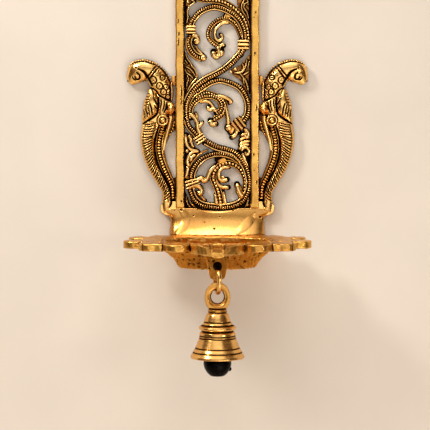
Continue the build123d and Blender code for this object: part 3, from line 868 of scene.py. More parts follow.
def cord_tree() -> PathTree:
    """Tree for a round cord along a wire, ribbed across like a twisted stem.

    The wires carry half, the cord's half width, and rise, its height over its half width.
    """
    made = PathTree("stem_cords", {"Pitch": 1.2 * MM, "Rib Depth": 0.2, "Valley": 0.15, "Back": 0.0})
    graph = made.graph
    step = made.size("Pitch") / 6.0
    cut = graph.node("GeometryNodeResampleCurve", {"Curve": made.curves(), "Length": step}, mode="LENGTH")
    length = graph.value(graph.node("GeometryNodeSplineParameter"), "Length")
    turn = length * (2 * math.pi) / made.size("Pitch")
    wave = turn.math("COSINE", turn)
    crown = (wave * 0.5 + 0.5) ** 0.85
    swell = 1.0 - made.size("Rib Depth") * (1.0 - crown)
    half = made.named("half")
    relief = crown ** 0.7 * (1.0 - made.size("Valley")) + made.size("Valley")
    marked = made.store(cut, relief)
    square = graph.node("GeometryNodeCurvePrimitiveQuadrilateral", {"Width": 2.0, "Height": 2.0},
                        mode="RECTANGLE")
    ring = graph.node("GeometryNodeFilletCurve", {"Curve": square, "Count": 3, "Radius": 0.80}, mode="POLY")
    tube = graph.node("GeometryNodeCurveToMesh", {"Curve": marked, "Profile Curve": ring,
                                                  "Scale": half * swell, "Fill Caps": True})
    parts = graph.node("ShaderNodeSeparateXYZ", {0: graph.node("GeometryNodeInputPosition")})
    proud = graph.value(parts, "Y") - made.size("Back")
    depth = made.size("Back") + proud.at_most(0.0) * made.named("rise") + proud.at_least(0.0) * 0.4
    spot = graph.node("ShaderNodeCombineXYZ", {"X": graph.value(parts, "X"), "Y": depth,
                                               "Z": graph.value(parts, "Z")})
    return made.close(graph.node("GeometryNodeSetPosition", {"Geometry": tube, "Position": spot}))


def bead_tree() -> PathTree:
    """Tree for a row of beads along a wire that carries half, the beads' radius."""
    made = PathTree("bead_rows", {"Pitch": 1.5 * MM, "Reach": 1.0})
    graph = made.graph
    step = {"Curve": made.curves(), "Length": made.size("Pitch")}
    cut = graph.node("GeometryNodeResampleCurve", step, mode="LENGTH")
    points = graph.node("GeometryNodeCurveToPoints", {"Curve": cut}, mode="EVALUATED")
    ball = graph.node("GeometryNodeMeshIcoSphere", {"Radius": 1.0, "Subdivisions": 2})
    scale = made.named("half") * made.size("Reach")
    beads = graph.node("GeometryNodeInstanceOnPoints", {"Points": points, "Instance": ball, "Scale": scale})
    return made.close(made.store(beads, 1.0, "INSTANCE"))


@dataclass(frozen=True)
class Cord:
    """One cord of a stem: place across it and half width as shares of the stem's half width.

    rise is the cord's height over its half width, pitch its rib pitch in millimetres, depth the rib
    depth as a share, and tip the half width at its ends as a share of the middle's.
    """

    place: float
    share: float
    rise: float = 1.3
    pitch: float = 0.0
    depth: float = 0.0
    tip: float = 0.9


class Stem(Enum):
    """How a stem of the scrollwork is dressed: its cords and the radius of its beads as a share."""

    RIBBED = ((Cord(0.34, 0.56, 1.75, 1.55, 0.38, 1.0), Cord(-0.66, 0.25, 2.3)), 0.0)
    BARE = ((Cord(-0.34, 0.56, 1.75, 1.55, 0.38, 1.0), Cord(0.66, 0.25, 2.3)), 0.0)
    BEADED = ((Cord(0.0, 0.34, 0.6), Cord(-0.88, 0.17, 2.4), Cord(0.88, 0.17, 2.4)), 0.50)
    PLAIN = ((Cord(0.0, 0.90, 1.35, tip=0.75),), 0.0)
    LOW = ((Cord(0.0, 0.80, 0.30),), 0.0)
    COLLAR = ((Cord(-0.68, 0.27, 3.0), Cord(0.0, 0.30, 3.1), Cord(0.68, 0.27, 3.0)), 0.0)


@dataclass
class ScrollTurn:
    """One turn of the running vine, drawn in hundredths of half the opening and half the pitch.

    A stem is (kind, points, start width, end width). Leaves are outlines, ridges are (points, half width)
    and balls are (across, up, radius), with the half width and the radius in millimetres.
    """

    stems: Sequence[tuple]
    leaves: Sequence[Rows]
    ridges: Sequence[tuple]
    balls: Sequence[tuple]
    ground: float = 0.62


HIGH_TURN = ScrollTurn(
    stems=[
        (Stem.RIBBED, [(-82, 14), (-79, 26), (-76, 44), (-55, 67), (-30, 79), (-4, 82), (30, 73),
                       (61, 53), (78, 26), (83, 0), (78, -24), (70, -44)], 16, 17),
        (Stem.BEADED, [(-60, 110), (-47, 104), (13, 98), (55, 77), (81, 52), (92, 25), (95, 0)], 17, 14),
        (Stem.RIBBED, [(73, 3), (55, 36), (26, 52), (-2, 46), (-23, 26), (-26, 3), (-13, -12), (2, -22),
                       (3, -40)], 13, 13),
        (Stem.PLAIN, [(34, 42), (14, 40), (-6, 22), (-7, 5), (2, -6), (12, -4), (15, 6), (9, 10)], 8, 8),
        (Stem.RIBBED, [(-80, 6), (-86, -10), (-80, -28), (-64, -45), (-43, -52)], 15, 19),
        (Stem.PLAIN, [(-92, 2), (-95, -18), (-86, -40), (-66, -55), (-50, -60)], 6, 6),
        (Stem.PLAIN, [(-76, 8), (-62, 4), (-60, -10), (-68, -10)], 10, 12),
        (Stem.PLAIN, [(-66, -20), (-58, -32), (-46, -42)], 5, 10),
        (Stem.COLLAR, [(-95, 23), (-66, 23)], 24, 24),
        (Stem.COLLAR, [(62, -17), (96, -17)], 28, 28),
        (Stem.PLAIN, [(2, -22), (5, -40), (0, -50), (-10, -46), (-12, -36)], 10, 14),
        (Stem.PLAIN, [(5, -26), (14, -16), (20, -20)], 7, 10),
        (Stem.PLAIN, [(5, -42), (12, -44), (14, -34)], 9, 12),
        (Stem.LOW, [(35, 62), (26, 50)], 24, 24),
        (Stem.LOW, [(86, 40), (80, -5)], 20, 20),
    ],
    leaves=[
        [(-105, 136), (-80, 115), (-62, 96), (-84, 86), (-88, 66), (-76, 45), (-86, 34), (-105, 30)],
        [(60, 131), (60, 90), (68, 74), (86, 60), (105, 30), (105, 131)],
    ],
    ridges=[
        ([(-81, 103), (-69, 96.5), (-81, 88), (-90, 76), (-90, 55), (-93, 41)], 0.62),
        ([(-83, 82), (-83, 70), (-74, 64)], 0.42),
        ([(-98, 90), (-97, 60)], 0.35),
        ([(83, 104), (74, 89), (76, 74), (88, 58)], 0.50),
        ([(95, 98), (83, 91), (81, 82), (90, 70), (95, 52)], 0.50),
        ([(98, 120), (92, 98), (98, 84)], 0.40),
    ],
    balls=[(-90, 97, 1.2), (-63, -7, 1.75), (-42, -53, 2.0)],
)
LOW_TURN = ScrollTurn(
    stems=[
        (Stem.BARE, [(86, 185), (71, 162), (48, 139), (22, 119), (-5, 105), (-37, 91), (-65, 72),
                     (-83, 52), (-95, 30), (-98, 9), (-96, -14), (-88, -37), (-64, -61)], 19, 16),
        (Stem.PLAIN, [(86, 168), (62, 146), (32, 120), (8, 104)], 5, 5),
        (Stem.RIBBED, [(-92, 3), (-88, 25), (-73, 48), (-50, 62), (-22, 79), (8, 86), (38, 80), (64, 69),
                       (81, 51), (91, 30), (93, 12), (90, -6), (80, -20)], 13, 20),
        (Stem.RIBBED, [(-81, -14), (-81, 9), (-69, 27), (-47, 40), (-22, 43), (1, 36), (11, 21), (7, 6),
                       (-4, 1)], 13, 14),
        (Stem.BEADED, [(-62, 42), (-46, 50), (-30, 54), (4, 43), (22, 27), (22, 9), (13, -6),
                       (-9, -18)], 11, 15),
        (Stem.PLAIN, [(3, 46), (25, 41), (43, 31), (36, 26)], 10, 8),
        (Stem.PLAIN, [(-50, 29), (-34, 31), (-19, 25), (-14, 15), (-22, 7), (-30, 11), (-27, 17)], 7, 8),
        (Stem.PLAIN, [(-14, 12), (-2, 4)], 10, 10),
        (Stem.PLAIN, [(25, 20), (31, -7), (33, -30)], 8, 10),
        (Stem.LOW, [(35, -40), (50, -46)], 24, 36),
        (Stem.COLLAR, [(53, -17), (76, -43)], 32, 32),
        (Stem.PLAIN, [(46, -30), (58, -42), (56, -58), (44, -66)], 8, 12),
        (Stem.PLAIN, [(-22, -20), (-16, -31), (-4, -30)], 12, 12),
        (Stem.PLAIN, [(-86, -2), (-70, -12), (-62, -25), (-60, -40), (-52, -56)], 10, 12),
        (Stem.PLAIN, [(-70, -14), (-62, -10), (-66, 0)], 8, 6),
        (Stem.PLAIN, [(-60, -40), (-48, -30), (-44, -24)], 9, 6),
        (Stem.COLLAR, [(-68, -78), (-40, -62)], 24, 24),
        (Stem.PLAIN, [(82, -44), (94, -52), (92, -66), (82, -62)], 9, 9),
    ],
    leaves=[
        [(-105, 170), (-86, 145), (-68, 122), (-57, 98), (-70, 80), (-92, 55), (-105, 45)],
        [(105, 160), (80, 138), (66, 126), (40, 116), (48, 100), (68, 90), (82, 64), (98, 50), (105, 50)],
    ],
    ridges=[
        ([(-97, 166), (-93, 149), (-83, 136), (-76, 125), (-67, 115), (-62, 98), (-69, 88), (-81, 76),
          (-91, 60)], 0.60),
        ([(-96, 124), (-83, 118), (-73, 107), (-66, 97)], 0.48),
        ([(-98, 116), (-93, 107), (-81, 100), (-74, 91)], 0.48),
        ([(-92, 100), (-88, 93), (-91, 83), (-94, 71)], 0.44),
        ([(-99, 142), (-90, 132)], 0.40),
        ([(71, 136), (79, 127), (78, 115), (69, 109), (52, 107)], 0.55),
        ([(60, 106), (69, 106), (79, 95), (88, 83), (95, 60)], 0.62),
        ([(90, 142), (84, 120), (75, 108)], 0.48),
        ([(97, 140), (94, 122)], 0.38),
        ([(79, 102), (95, 110)], 0.50),
        ([(78, 92), (82, 76)], 0.36),
    ],
    balls=[(56, 117, 1.25), (42, 110, 1.1), (35, -40, 2.2), (-26, 13, 1.1), (-5, -28, 1.1), (34, -28, 1.0)],
)
LOWEST_TURN = ScrollTurn(
    stems=[
        (Stem.RIBBED, [(-37, 122), (-4, 107), (30, 99), (55, 90), (76, 67), (89, 45), (96, 15),
                       (92, -12), (78, -34), (52, -48), (22, -53), (-13, -52), (-47, -46), (-68, -31),
        (-78, -13), (-80, 0)], 19, 19),
        (Stem.RIBBED, [(-74, 15), (-76, 34), (-64, 58), (-42, 77), (-13, 87), (18, 88), (47, 80),
                       (67, 67)], 19, 14),
        (Stem.PLAIN, [(-90, 22), (-90, 42), (-76, 68), (-52, 90), (-30, 100)], 5, 5),
        (Stem.BEADED, [(83, -15), (85, 15), (78, 37), (64, 54), (38, 64), (13, 60), (-6, 45), (-13, 25),
                       (-4, 5), (4, -15), (9, -37), (11, -50)], 13, 20),
        (Stem.PLAIN, [(-6, -20), (-2, -48)], 8, 12),
        (Stem.PLAIN, [(19, -14), (23, -36), (26, -48)], 8, 8),
        (Stem.PLAIN, [(36, 53), (18, 52), (5, 40), (6, 25), (17, 17), (30, 20)], 8, 12),
        (Stem.PLAIN, [(-4, 17), (6, 5), (18, -1), (34, -1)], 7, 11),
        (Stem.PLAIN, [(60, 8), (66, -10), (78, -28)], 13, 17),
        (Stem.PLAIN, [(60, 6), (70, -2), (74, -16)], 8, 8),
        (Stem.PLAIN, [(-66, 14), (-50, 24), (-40, 16), (-32, 22), (-22, 42), (-6, 58)], 13, 10),
        (Stem.COLLAR, [(-96, 5), (-56, 16)], 26, 20),
        (Stem.PLAIN, [(-78, 2), (-62, 4), (-50, -4), (-50, -16), (-58, -18)], 10, 14),
        (Stem.PLAIN, [(-52, -20), (-44, -30), (-36, -36)], 6, 8),
        (Stem.LOW, [(12, 76), (20, 62)], 34, 26),
        (Stem.PLAIN, [(77, 91), (86, 70), (95, 53)], 10, 5),
        (Stem.PLAIN, [(73, 98), (81, 107), (94, 104), (97, 94), (90, 87), (85, 94)], 8, 8),
        (Stem.PLAIN, [(66, 102), (78, 113), (97, 115)], 7, 7),
        (Stem.PLAIN, [(67, 113), (79, 121), (98, 124)], 7, 7),
        (Stem.PLAIN, [(69, 125), (81, 133), (98, 134)], 7, 7),
        (Stem.PLAIN, [(72, 138), (84, 144), (98, 144)], 7, 7),
        (Stem.PLAIN, [(-98, 142), (-96, 122), (-89, 109), (-76, 100), (-57, 97)], 10, 8),
        (Stem.PLAIN, [(-57, 97), (-76, 94), (-88, 82), (-92, 67), (-86, 57)], 8, 10),
        (Stem.PLAIN, [(-90, 55), (-93, 37), (-98, 25)], 10, 9),
        (Stem.PLAIN, [(-67, 87), (-79, 80), (-81, 70)], 8, 11),
        (Stem.PLAIN, [(-88, 139), (-81, 130), (-83, 119)], 9, 8),
        (Stem.PLAIN, [(-80, 124), (-77, 114), (-72, 108)], 8, 7),
    ],
    leaves=[
        [(-105, -5), (-90, -28), (-72, -45), (-55, -60), (-30, -70), (-105, -70)],
        [(105, -5), (95, -28), (80, -45), (58, -60), (30, -70), (105, -70)],
        [(70, 150), (64, 120), (66, 95), (80, 80), (95, 50), (105, 50), (105, 150)],
        [(-105, 145), (-90, 145), (-74, 115), (-56, 97), (-80, 70), (-86, 45), (-105, 15)],
        [(-90, -50), (90, -50), (90, -80), (-90, -80)],
    ],
    ridges=[
        ([(-97, -20), (-92, -42), (-80, -58)], 0.40),
        ([(-88, -28), (-80, -44), (-66, -56)], 0.36),
        ([(97, -20), (93, -40), (84, -56)], 0.40),
    ],
    balls=[(-93, 97, 1.3), (17, 26, 1.5), (-55, -16, 1.7), (61, 6, 1.1), (93, -48, 1.0)],
    ground=0.12,
)


@dataclass
class ScrollPanel:
    """Openwork of running vine between the rails, one relief for each turn."""

    back: float = 0.5
    plate_front: float = 2.3
    leaf_front: float = 3.0
    stem_growth: float = 1.14
    twig_growth: float = 1.35
    plate_growth: float = 1.07
    cord_root: float = 2.2
    bead_root: float = 3.0
    bead_pitch: float = 2.15
    ridge_height: float = 1.25
    skin: float = 0.26
    turns: Sequence[tuple] = (("scroll_top", LOW_TURN), ("scroll_upper", HIGH_TURN),
                              ("scroll_middle", LOW_TURN), ("scroll_lower", LOWEST_TURN))

    def build(self) -> None:
        """Builds every turn and stands it for its CAD node."""
        self.half_opening = box_mm("right_rail")[0][0]
        self.panel_top = box_mm("left_rail")[1][2]
        self.panel_bottom = box_mm("left_rail")[0][2]
        low, high = box_mm("scroll_top")
        self.half_pitch = (high[2] - low[2]) / 2
        self.cords, self.beads = cord_tree(), bead_tree()
        for index, (node, turn) in enumerate(self.turns):
            self.middle = self.panel_top - (2 * index + 1) * self.half_pitch
            name = node.replace("scroll_", "") + "_turn"
            piece(name + "_leaf_plate", self.plate(name, turn), Finish.RELIEF, "root", node)
            piece(name + "_stems", self.stems(name, turn), Finish.RELIEF, "root")

    def place(self, points: Rows) -> np.ndarray:
        """Points of the drawing as across and up in millimetres, kept between the rails."""
        rows = np.array(points) / 100 * (self.half_opening, self.half_pitch) + (0, self.middle)
        low = (-self.half_opening - 0.4, self.panel_bottom - 0.4)
        high = (self.half_opening + 0.4, self.panel_top + 0.4)
        return np.clip(rows, low, high)

    def rows(self, stem: tuple) -> np.ndarray:
        """Rows of across, up and half width of a stem."""
        places = self.place(stem[1])
        growth = self.twig_growth if stem[0] is Stem.PLAIN and stem[2] > 6 else self.stem_growth
        half = np.linspace(stem[2] / 100, stem[3] / 100, len(places)) * self.half_opening / 2 * growth
        return np.column_stack((places, half))

    def plate(self, name: str, turn: ScrollTurn) -> bpy.types.Mesh:
        """The flat ground under the stems, with its leaves raised from it."""
        shape = Shape()
        for stem in turn.stems:
            rows = self.rows(stem) * (1, 1, self.plate_growth)
            shape.band(rows, -self.back, -self.plate_front, stem[0] is not Stem.COLLAR)
        for outline in turn.leaves:
            shape.plate(self.place(outline), -self.back, -self.leaf_front)
        mesh = cast(shape.mesh(name + "_leaf_plate"), self.skin, 2)
        strokes = [Stroke(self.place(points), 1.5 * half, -self.ridge_height, 0.55)
                   for points, half in turn.ridges]
        top, bottom = self.middle + self.half_pitch, self.middle - self.half_pitch
        # painted shadow: dark lines down both sides of the plate, where it meets the rails
        strokes += [Stroke([(across, bottom), (across, top)], 0.75, 1.0)
                    for across in (0.25 - self.half_opening, self.half_opening - 0.25)]
        carve(mesh, strokes, ground=turn.ground, outline=0.5)
        return mesh

    def stems(self, name: str, turn: ScrollTurn) -> bpy.types.Mesh:
        """Ribbed and plain cords, borders and beads of the stems."""
        groups: dict[tuple[float, float], list] = {}
        bead_lines = []
        for stem in turn.stems:
            cords, bead = stem[0].value
            line = smooth_line(self.rows(stem), 0.5)
            for cord in cords:
                groups.setdefault((cord.pitch, cord.depth), []).append(self.cord(cord, line))
            if bead:
                bead_lines.append(lifted(line, -self.bead_root, line[:, 2] * bead))
        parts = []
        for (pitch, depth), lines in groups.items():
            edges = wires(name, lines, "half", "rise")
            parts.append(self.cords.run(name, edges, Finish.RELIEF, Pitch=(pitch or 4.0) * MM,
                                        Rib_Depth=depth, Valley=0.0 if pitch else 1.0,
                                        Back=-self.cord_root * MM))
        if bead_lines:
            pitch = self.bead_pitch * np.mean([line[:, 3].mean() for line in bead_lines])
            edges = wires(name, bead_lines, "half")
            parts.append(self.beads.run(name, edges, Finish.RELIEF, Pitch=pitch * MM))
        for across, up, radius in turn.balls:
            spot = self.place([(across, up)])[0]
            centre = (spot[0], -self.cord_root - 0.35 * radius, spot[1])
            parts.append(ball_mesh(name, centre, (radius, min(radius, 1.5), radius)))
        return joined(name + "_stems", parts)

    def cord(self, cord: Cord, line: np.ndarray) -> np.ndarray:
        """Rows of x, y, z, half width and rise of one cord, whose place counts outwards from the bend."""
        turning = np.diff(line[:, :2], n=2, axis=0)
        ahead = np.diff(line[:, :2], axis=0)[:-1]
        outer = -1.0 if (ahead[:, 0] * turning[:, 1] - ahead[:, 1] * turning[:, 0]).sum() > 0 else 1.0
        moved = line[:, :2] + sideways(line) * (line[:, 2] * cord.place * outer)[:, None]
        ends = np.linspace(-1, 1, len(line)) ** 8
        half = line[:, 2] * cord.share * (1 - (1 - cord.tip) * ends)
        return lifted(moved, -self.cord_root, half, cord.rise)


class Surface:
    """Front of a mesh, which gives its depth at any place."""

    def __init__(self, mesh: bpy.types.Mesh) -> None:
        """Builds the search tree of the mesh."""
        edit = bmesh.new()
        edit.from_mesh(mesh)
        self.tree = BVHTree.FromBMesh(edit)
        edit.free()

    def depth(self, across: float, up: float) -> float:
        """Depth of the foremost surface at a place, in millimetres, or -2 beside it."""
        hit = self.tree.ray_cast(Vector((across * MM, -0.2, up * MM)), Vector((0, 1, 0)))[0]
        return -2.0 if hit is None else hit.y / MM


def cast_node(node: str, name: str, grain: float, strokes: Sequence[Stroke]) -> bpy.types.Mesh:
    """A CAD node's form as a cast skin with soft edges and carved lines."""
    mesh = cast(cad_mesh(node, name), grain, 3)
    carve(mesh, strokes)
    return mesh


def ball_mesh(name: str, centre: Sequence[float], radii: Sequence[float]) -> bpy.types.Mesh:
    """A ball or egg, with its centre and radii in millimetres."""
    edit = bmesh.new()
    bmesh.ops.create_icosphere(edit, subdivisions=4, radius=MM)
    bmesh.ops.scale(edit, vec=radii, verts=edit.verts)
    bmesh.ops.translate(edit, verts=edit.verts, vec=Vector(centre) * MM)
    mesh = baked(edit, name)
    write_relief(mesh)
    return mesh


@dataclass
class Parrot:
    """The parrots beside the panel, drawn for the left one and mirrored for the right.

    The drawing has units of its own, x to the right and y down. Limb rows are x, y, half width and height.
    """

    rail_edge: float = 176.0
    foot_level: float = 214.5
    unit: float = 0.683
    foot_drop: float = 3.6
    back: float = 0.4
    skin: float = 0.275
    limbs: Sequence[Rows] = (
        [(130.5, 84.0, 3.6, 6.0), (134, 78.5, 8.4, 9.5), (139.5, 72.6, 12.0, 12.6), (147, 70.6, 10.6, 13.4),
         (154, 73, 9.4, 13.2)],
        [(150, 71, 8.0, 12.6), (156, 77, 10.2, 13.2), (161, 85, 10.4, 12.6), (166, 93, 8.0, 11.0),
         (169, 101, 4.5, 8.0)],
        [(151, 90, 3.0, 9.0), (151.9, 95, 4.9, 11.0), (152.4, 101, 7.9, 12.4), (151, 109, 8.2, 12.4),
         (148.8, 115, 6.8, 11.0), (145.2, 121, 3.9, 8.0), (144, 124, 1.5, 5.0)],
        [(164, 95, 8.0, 9.0), (163.5, 104, 8.4, 9.4), (163, 113, 6.0, 8.4), (163, 121, 5.0, 7.0)],
        [(150.5, 122.0, 8.0, 9.6), (149.6, 130, 8.2, 10.4), (147.5, 140, 7.1, 10.2), (148.4, 154, 5.9, 9.6),
         (152.6, 167.8, 5.0, 9.0), (160.6, 182, 4.6, 8.6), (166.4, 193, 4.2, 8.2), (166.5, 204, 4.8, 7.4),
         (168, 212, 6.0, 6.8)],
        [(166, 116, 6.0, 5.0), (162, 128, 6.0, 5.0), (160.0, 141, 5.6, 5.0), (160.0, 153, 5.2, 5.0),
         (163.4, 165, 4.4, 5.0), (168.1, 177, 4.2, 5.0), (172.1, 188, 3.6, 5.0), (173.2, 200, 3.0, 5.0)],
        [(171, 103.2, 2.4, 8.0), (171.2, 109.6, 4.2, 13.0), (171, 116, 2.2, 7.0)],
        [(171.4, 84, 1.8, 9.0), (172.4, 92, 1.6, 9.0), (172.0, 101, 1.4, 8.0)],
        [(157, 138, 4.0, 2.6), (157.5, 153, 4.0, 2.6), (162, 168, 4.0, 2.6), (168, 182, 3.6, 2.6),
         (171, 193, 3.2, 2.6), (171, 203, 3.0, 2.6)],
    )
    plates: Sequence[tuple] = (
        ([(172, 76.5), (177, 76.5), (177, 86), (172, 86)], 3.4),
        ([(160.6, 206.5), (162.5, 204), (166, 202.5), (177, 202.5), (177, 216.5), (166, 216.5),
          (162, 214.2), (160.3, 210.5)], 5.6),
        ([(149, 119), (153, 115), (160, 112), (165, 118), (162, 127), (156, 129), (150, 125)], 7.0),
        ([(168, 112), (177, 112), (177, 131), (174.6, 131.5), (171.5, 134), (167, 143), (164, 150),
          (162, 140)], 2.6),
        ([(166, 170), (170, 175), (173.4, 179), (177, 178), (177, 204), (170, 204), (168, 190)], 2.4),
    )
    grooves: Sequence[tuple] = (
        (((137.3, 72.9), (139.9, 75.4), (140.4, 78.3), (138.4, 80.2)), 0.62, 1.3),
        (((135.3, 76.9), (136.8, 79.5), (139.4, 80.2)), 0.55, 1.1),
        (((132.8, 77.5), (134.8, 80), (136.3, 80.7)), 0.50, 0.9),
        (((136.3, 67.8), (136.4, 68.6)), 0.60, 0.6),
        (((127.9, 81.6), (128.2, 82.4)), 0.60, 0.5),
        (((139.0, 69.6), (144.5, 72.3), (148, 77.4), (150.6, 81.5), (152.7, 86.0)), 0.85, 1.5),
        (((139.9, 85.8), (145, 80.5)), 0.42, 0.6),
        (((143.5, 85.8), (146, 82.6)), 0.42, 0.6),
        (((156.7, 66.7), (148.6, 76.4)), 0.55, 0.8),
        (((159.2, 68.2), (150.1, 78.8)), 0.55, 0.8),
        (((132.8, 64.4), (138.4, 62.4), (144, 62.0), (150.6, 63.6), (156.7, 65.8), (162.3, 70.2),
          (167.4, 77.2), (171, 84)), 0.60, 1.0),
        (((148.6, 85.0), (150.6, 87.9), (155.7, 90.4), (159.8, 95.8), (164.4, 98.6), (168.5, 101),
          (171.0, 100.6)), 0.60, 1.0),
        (((170.3, 84), (170.6, 92), (170.4, 100.5)), 0.48, 0.9),
        (((159.5, 71.4), (159.6, 71.7)), 0.55, 0.5),
        (((161.7, 73.3), (161.8, 73.6)), 0.55, 0.5),
        (((158, 75.8), (158.1, 76.1)), 0.55, 0.5),
        (((154.4, 98.6), (157.9, 105.2)), 0.52, 0.8),
        (((155.2, 106.2), (156.9, 109.2)), 0.50, 0.7),
        (((150.2, 104), (152.0, 109), (152.7, 115.4)), 0.50, 0.8),
        (((147.4, 93.6), (150.0, 94.6)), 0.36, 0.5),
        (((146.6, 97.0), (149.8, 97.6)), 0.36, 0.5),
        (((146.0, 99.9), (149.4, 100.3)), 0.36, 0.5),
        (((145.6, 102.8), (149.2, 103.0)), 0.36, 0.5),
        (((144.4, 106.0), (148.4, 105.2)), 0.36, 0.5),
        (((152.6, 90.4), (154.0, 94), (154.4, 98.4)), 0.34, 0.4),
        (((146, 110), (146.4, 111)), 0.45, 0.4),
        (((148.2, 113), (148.6, 114)), 0.45, 0.4),
        (((144.4, 115), (144.8, 116)), 0.45, 0.4),
        (((157.6, 113.6), (155.7, 116), (150.6, 119.6), (143.6, 124.3)), 0.70, 1.3),
        (((158.6, 98), (158.8, 106), (157.4, 113.4)), 0.70, 1.3),
        (((161.2, 99.5), (161.6, 104), (160.4, 109)), 0.42, 0.7),
        (((164.6, 101), (164.6, 106), (163.0, 111.5)), 0.42, 0.7),
        (((167.4, 103), (166.6, 108), (164.6, 113)), 0.60, 1.1),
        (((168.4, 117.6), (169.6, 116.2), (171.6, 116.4)), 0.45, 0.7),
        (((168.2, 120.5), (166.6, 128), (161.5, 136), (158.2, 142)), 0.50, 0.9),
        (((144.2, 110.0), (145.3, 118.2)), 0.40, 0.7),
        (((146.3, 108.2), (147.9, 117.4)), 0.40, 0.7),
        (((148.4, 106.6), (150.3, 116.0)), 0.40, 0.7),
    ) + tuple((((across, up), (across + 1.3, up - 0.9)), 0.40, 0.8)
              for across, up in ((137.6, 62.3), (140.2, 61.4), (142.9, 61.0), (145.6, 61.2), (148.3, 61.9),
                                 (151, 62.8)))
    rings: Sequence[tuple] = ((153.6, 80.6, 3.5), (163.4, 78.2, 2.5), (160.0, 86.4, 3.2),
                              (167.0, 87.6, 2.7), (164.0, 92.4, 3.0), (168.4, 97.4, 2.3))
    band_edge: Rows = ((158.4, 122), (158, 126.4), (154.6, 139), (154.2, 153.2), (158, 167.8),
                       (165.4, 182.5), (169.4, 193.3), (170.2, 203), (168.6, 207.8))
    bead_strand: Rows = ((163.4, 127), (159.6, 141), (159.6, 153.8), (162.6, 164.6), (167.6, 176.8),
                         (172.1, 187), (173.3, 199.5))
    plain_strand: Rows = ((170.9, 116.5, 2.2), (170.6, 122.0, 2.2), (167.4, 134.0, 1.8),
                          (165.2, 142.3, 1.5), (163.8, 151.0, 0.9))
    crest: Rows = ((128.8, 67.6), (132.6, 62.4), (138.4, 60.2), (144, 59.6), (150.6, 61.2), (157.4, 63.6),
                   (163.5, 68.2), (168.6, 75.2), (172.0, 82.4))
    small_beads: Rows = ((174.4, 123), (173.0, 129), (170.0, 135))
    knob: tuple[float, float, float] = (163.1, 120.8, 4.6)
    eye: tuple[float, float] = (137.4, 76.6)
    barbs: int = 31
    groove_growth: float = 1.3
    fullness: float = 0.62
    crest_drop: float = 1.5
    bead_level: float = -2.4
    bead_sink: float = 0.1
    strand_level: float = -2.6
    loop_level: float = -3.2
    cord_back: float = -4.2
    knob_level: float = -5.0
    knob_ring_level: float = -5.2

    def build(self) -> None:
        """Builds the left bird, mirrors it and stands both for their CAD nodes."""
        self.rail_side = box_mm("left_rail")[0][0]
        self.foot = box_mm("left_rail")[0][2] - self.foot_drop
        left = self.bird("left_bird")
        for side, mesh in (("right", mirrored(left, "right_bird")), ("left", left)):
            nodes = [f"{side}_{part}" for part in ("parrot", "wing", "tail")]
            piece(f"{side}_bird", mesh, Finish.BIRD, "root", *nodes)

    def mm(self, rows: Rows) -> np.ndarray:
        """Rows of the drawing in millimetres, with any further columns scaled."""
        table = np.array(rows, float)
        across = self.rail_side - (self.rail_edge - table[:, 0]) * self.unit
        up = self.foot + (self.foot_level - table[:, 1]) * self.unit
        return np.column_stack((across, up, table[:, 2:] * self.unit))

    def ring(self, spot: tuple[float, float, float]) -> np.ndarray:
        """A circle of the drawing, as x, y and radius, in millimetres."""
        return self.mm(circle(19) * spot[2] + spot[:2])

    def tail_barbs(self) -> list[Stroke]:
        """The slanting cuts of the tail, from its inner edge down to its outer margin."""
        line = smooth_line(self.mm(self.limbs[4]), 0.5)
        side = sideways(line)
        strokes = []
        last = int(0.86 * len(line))
        for spot in np.linspace(3, last, self.barbs).astype(int):
            share = spot / last
            middle, half = line[spot, :2], line[spot, 2]
            out = side[spot] * (-1 if side[spot][0] > 0 else 1)
            down = np.array((-out[1], out[0]))
            down = down if down[1] < 0 else -down
            slant = 0.35 + 0.55 * share
            start = middle - out * half * 0.72 - down * half * slant * 0.5
            bend = middle + down * half * slant * 0.22
            end = middle + out * half * 0.62 + down * half * slant * 0.62
            strokes.append(Stroke(np.array((start, bend, end)), 0.52, 1.1, 0.3))
        return strokes

    def strokes(self) -> list[Stroke]:
        """Everything that is cut into the bird, and the raised edge of its tail."""
        edge = self.mm(self.band_edge)
        x, y, radius = self.knob
        return [
            *(Stroke(self.mm(points), self.groove_growth * half, depth, 0.3)
              for points, half, depth in self.grooves),
            *(Stroke(self.ring(spot), 0.50, 0.8) for spot in self.rings),
            *(Stroke(self.mm([(x, y), (x + 0.1, y + 0.1)]), 0.50, 0.5) for x, y, _ in self.rings),
            Stroke(self.mm(self.bead_strand), 2.0, 1.5),
            *self.tail_barbs(),
            Stroke(edge + (0.95, 0), 0.62, 1.1),
            Stroke(edge, 0.55, -0.55),
            Stroke(self.ring((x, y, radius + 0.7)), 0.65, 1.1),
        ]

    def beads(self, name: str, front: Surface) -> list[bpy.types.Mesh]:
        """The beads along the crest and beside the tail."""
        tree = bead_tree()
        made = []
        crest = np.array(self.crest) + (0, self.crest_drop)
        for line, radius, pitch in ((crest, 0.75, 1.9), (self.small_beads, 0.9, 2.0)):
            path = smooth_line(self.mm(line), 0.4)
            depth = [min(front.depth(*place), self.bead_level) + self.bead_sink for place in path]
            edges = wires(name, [lifted(path, depth, radius)], "half")
            made.append(tree.run(name, edges, Finish.BIRD, Pitch=pitch * MM))
        return made

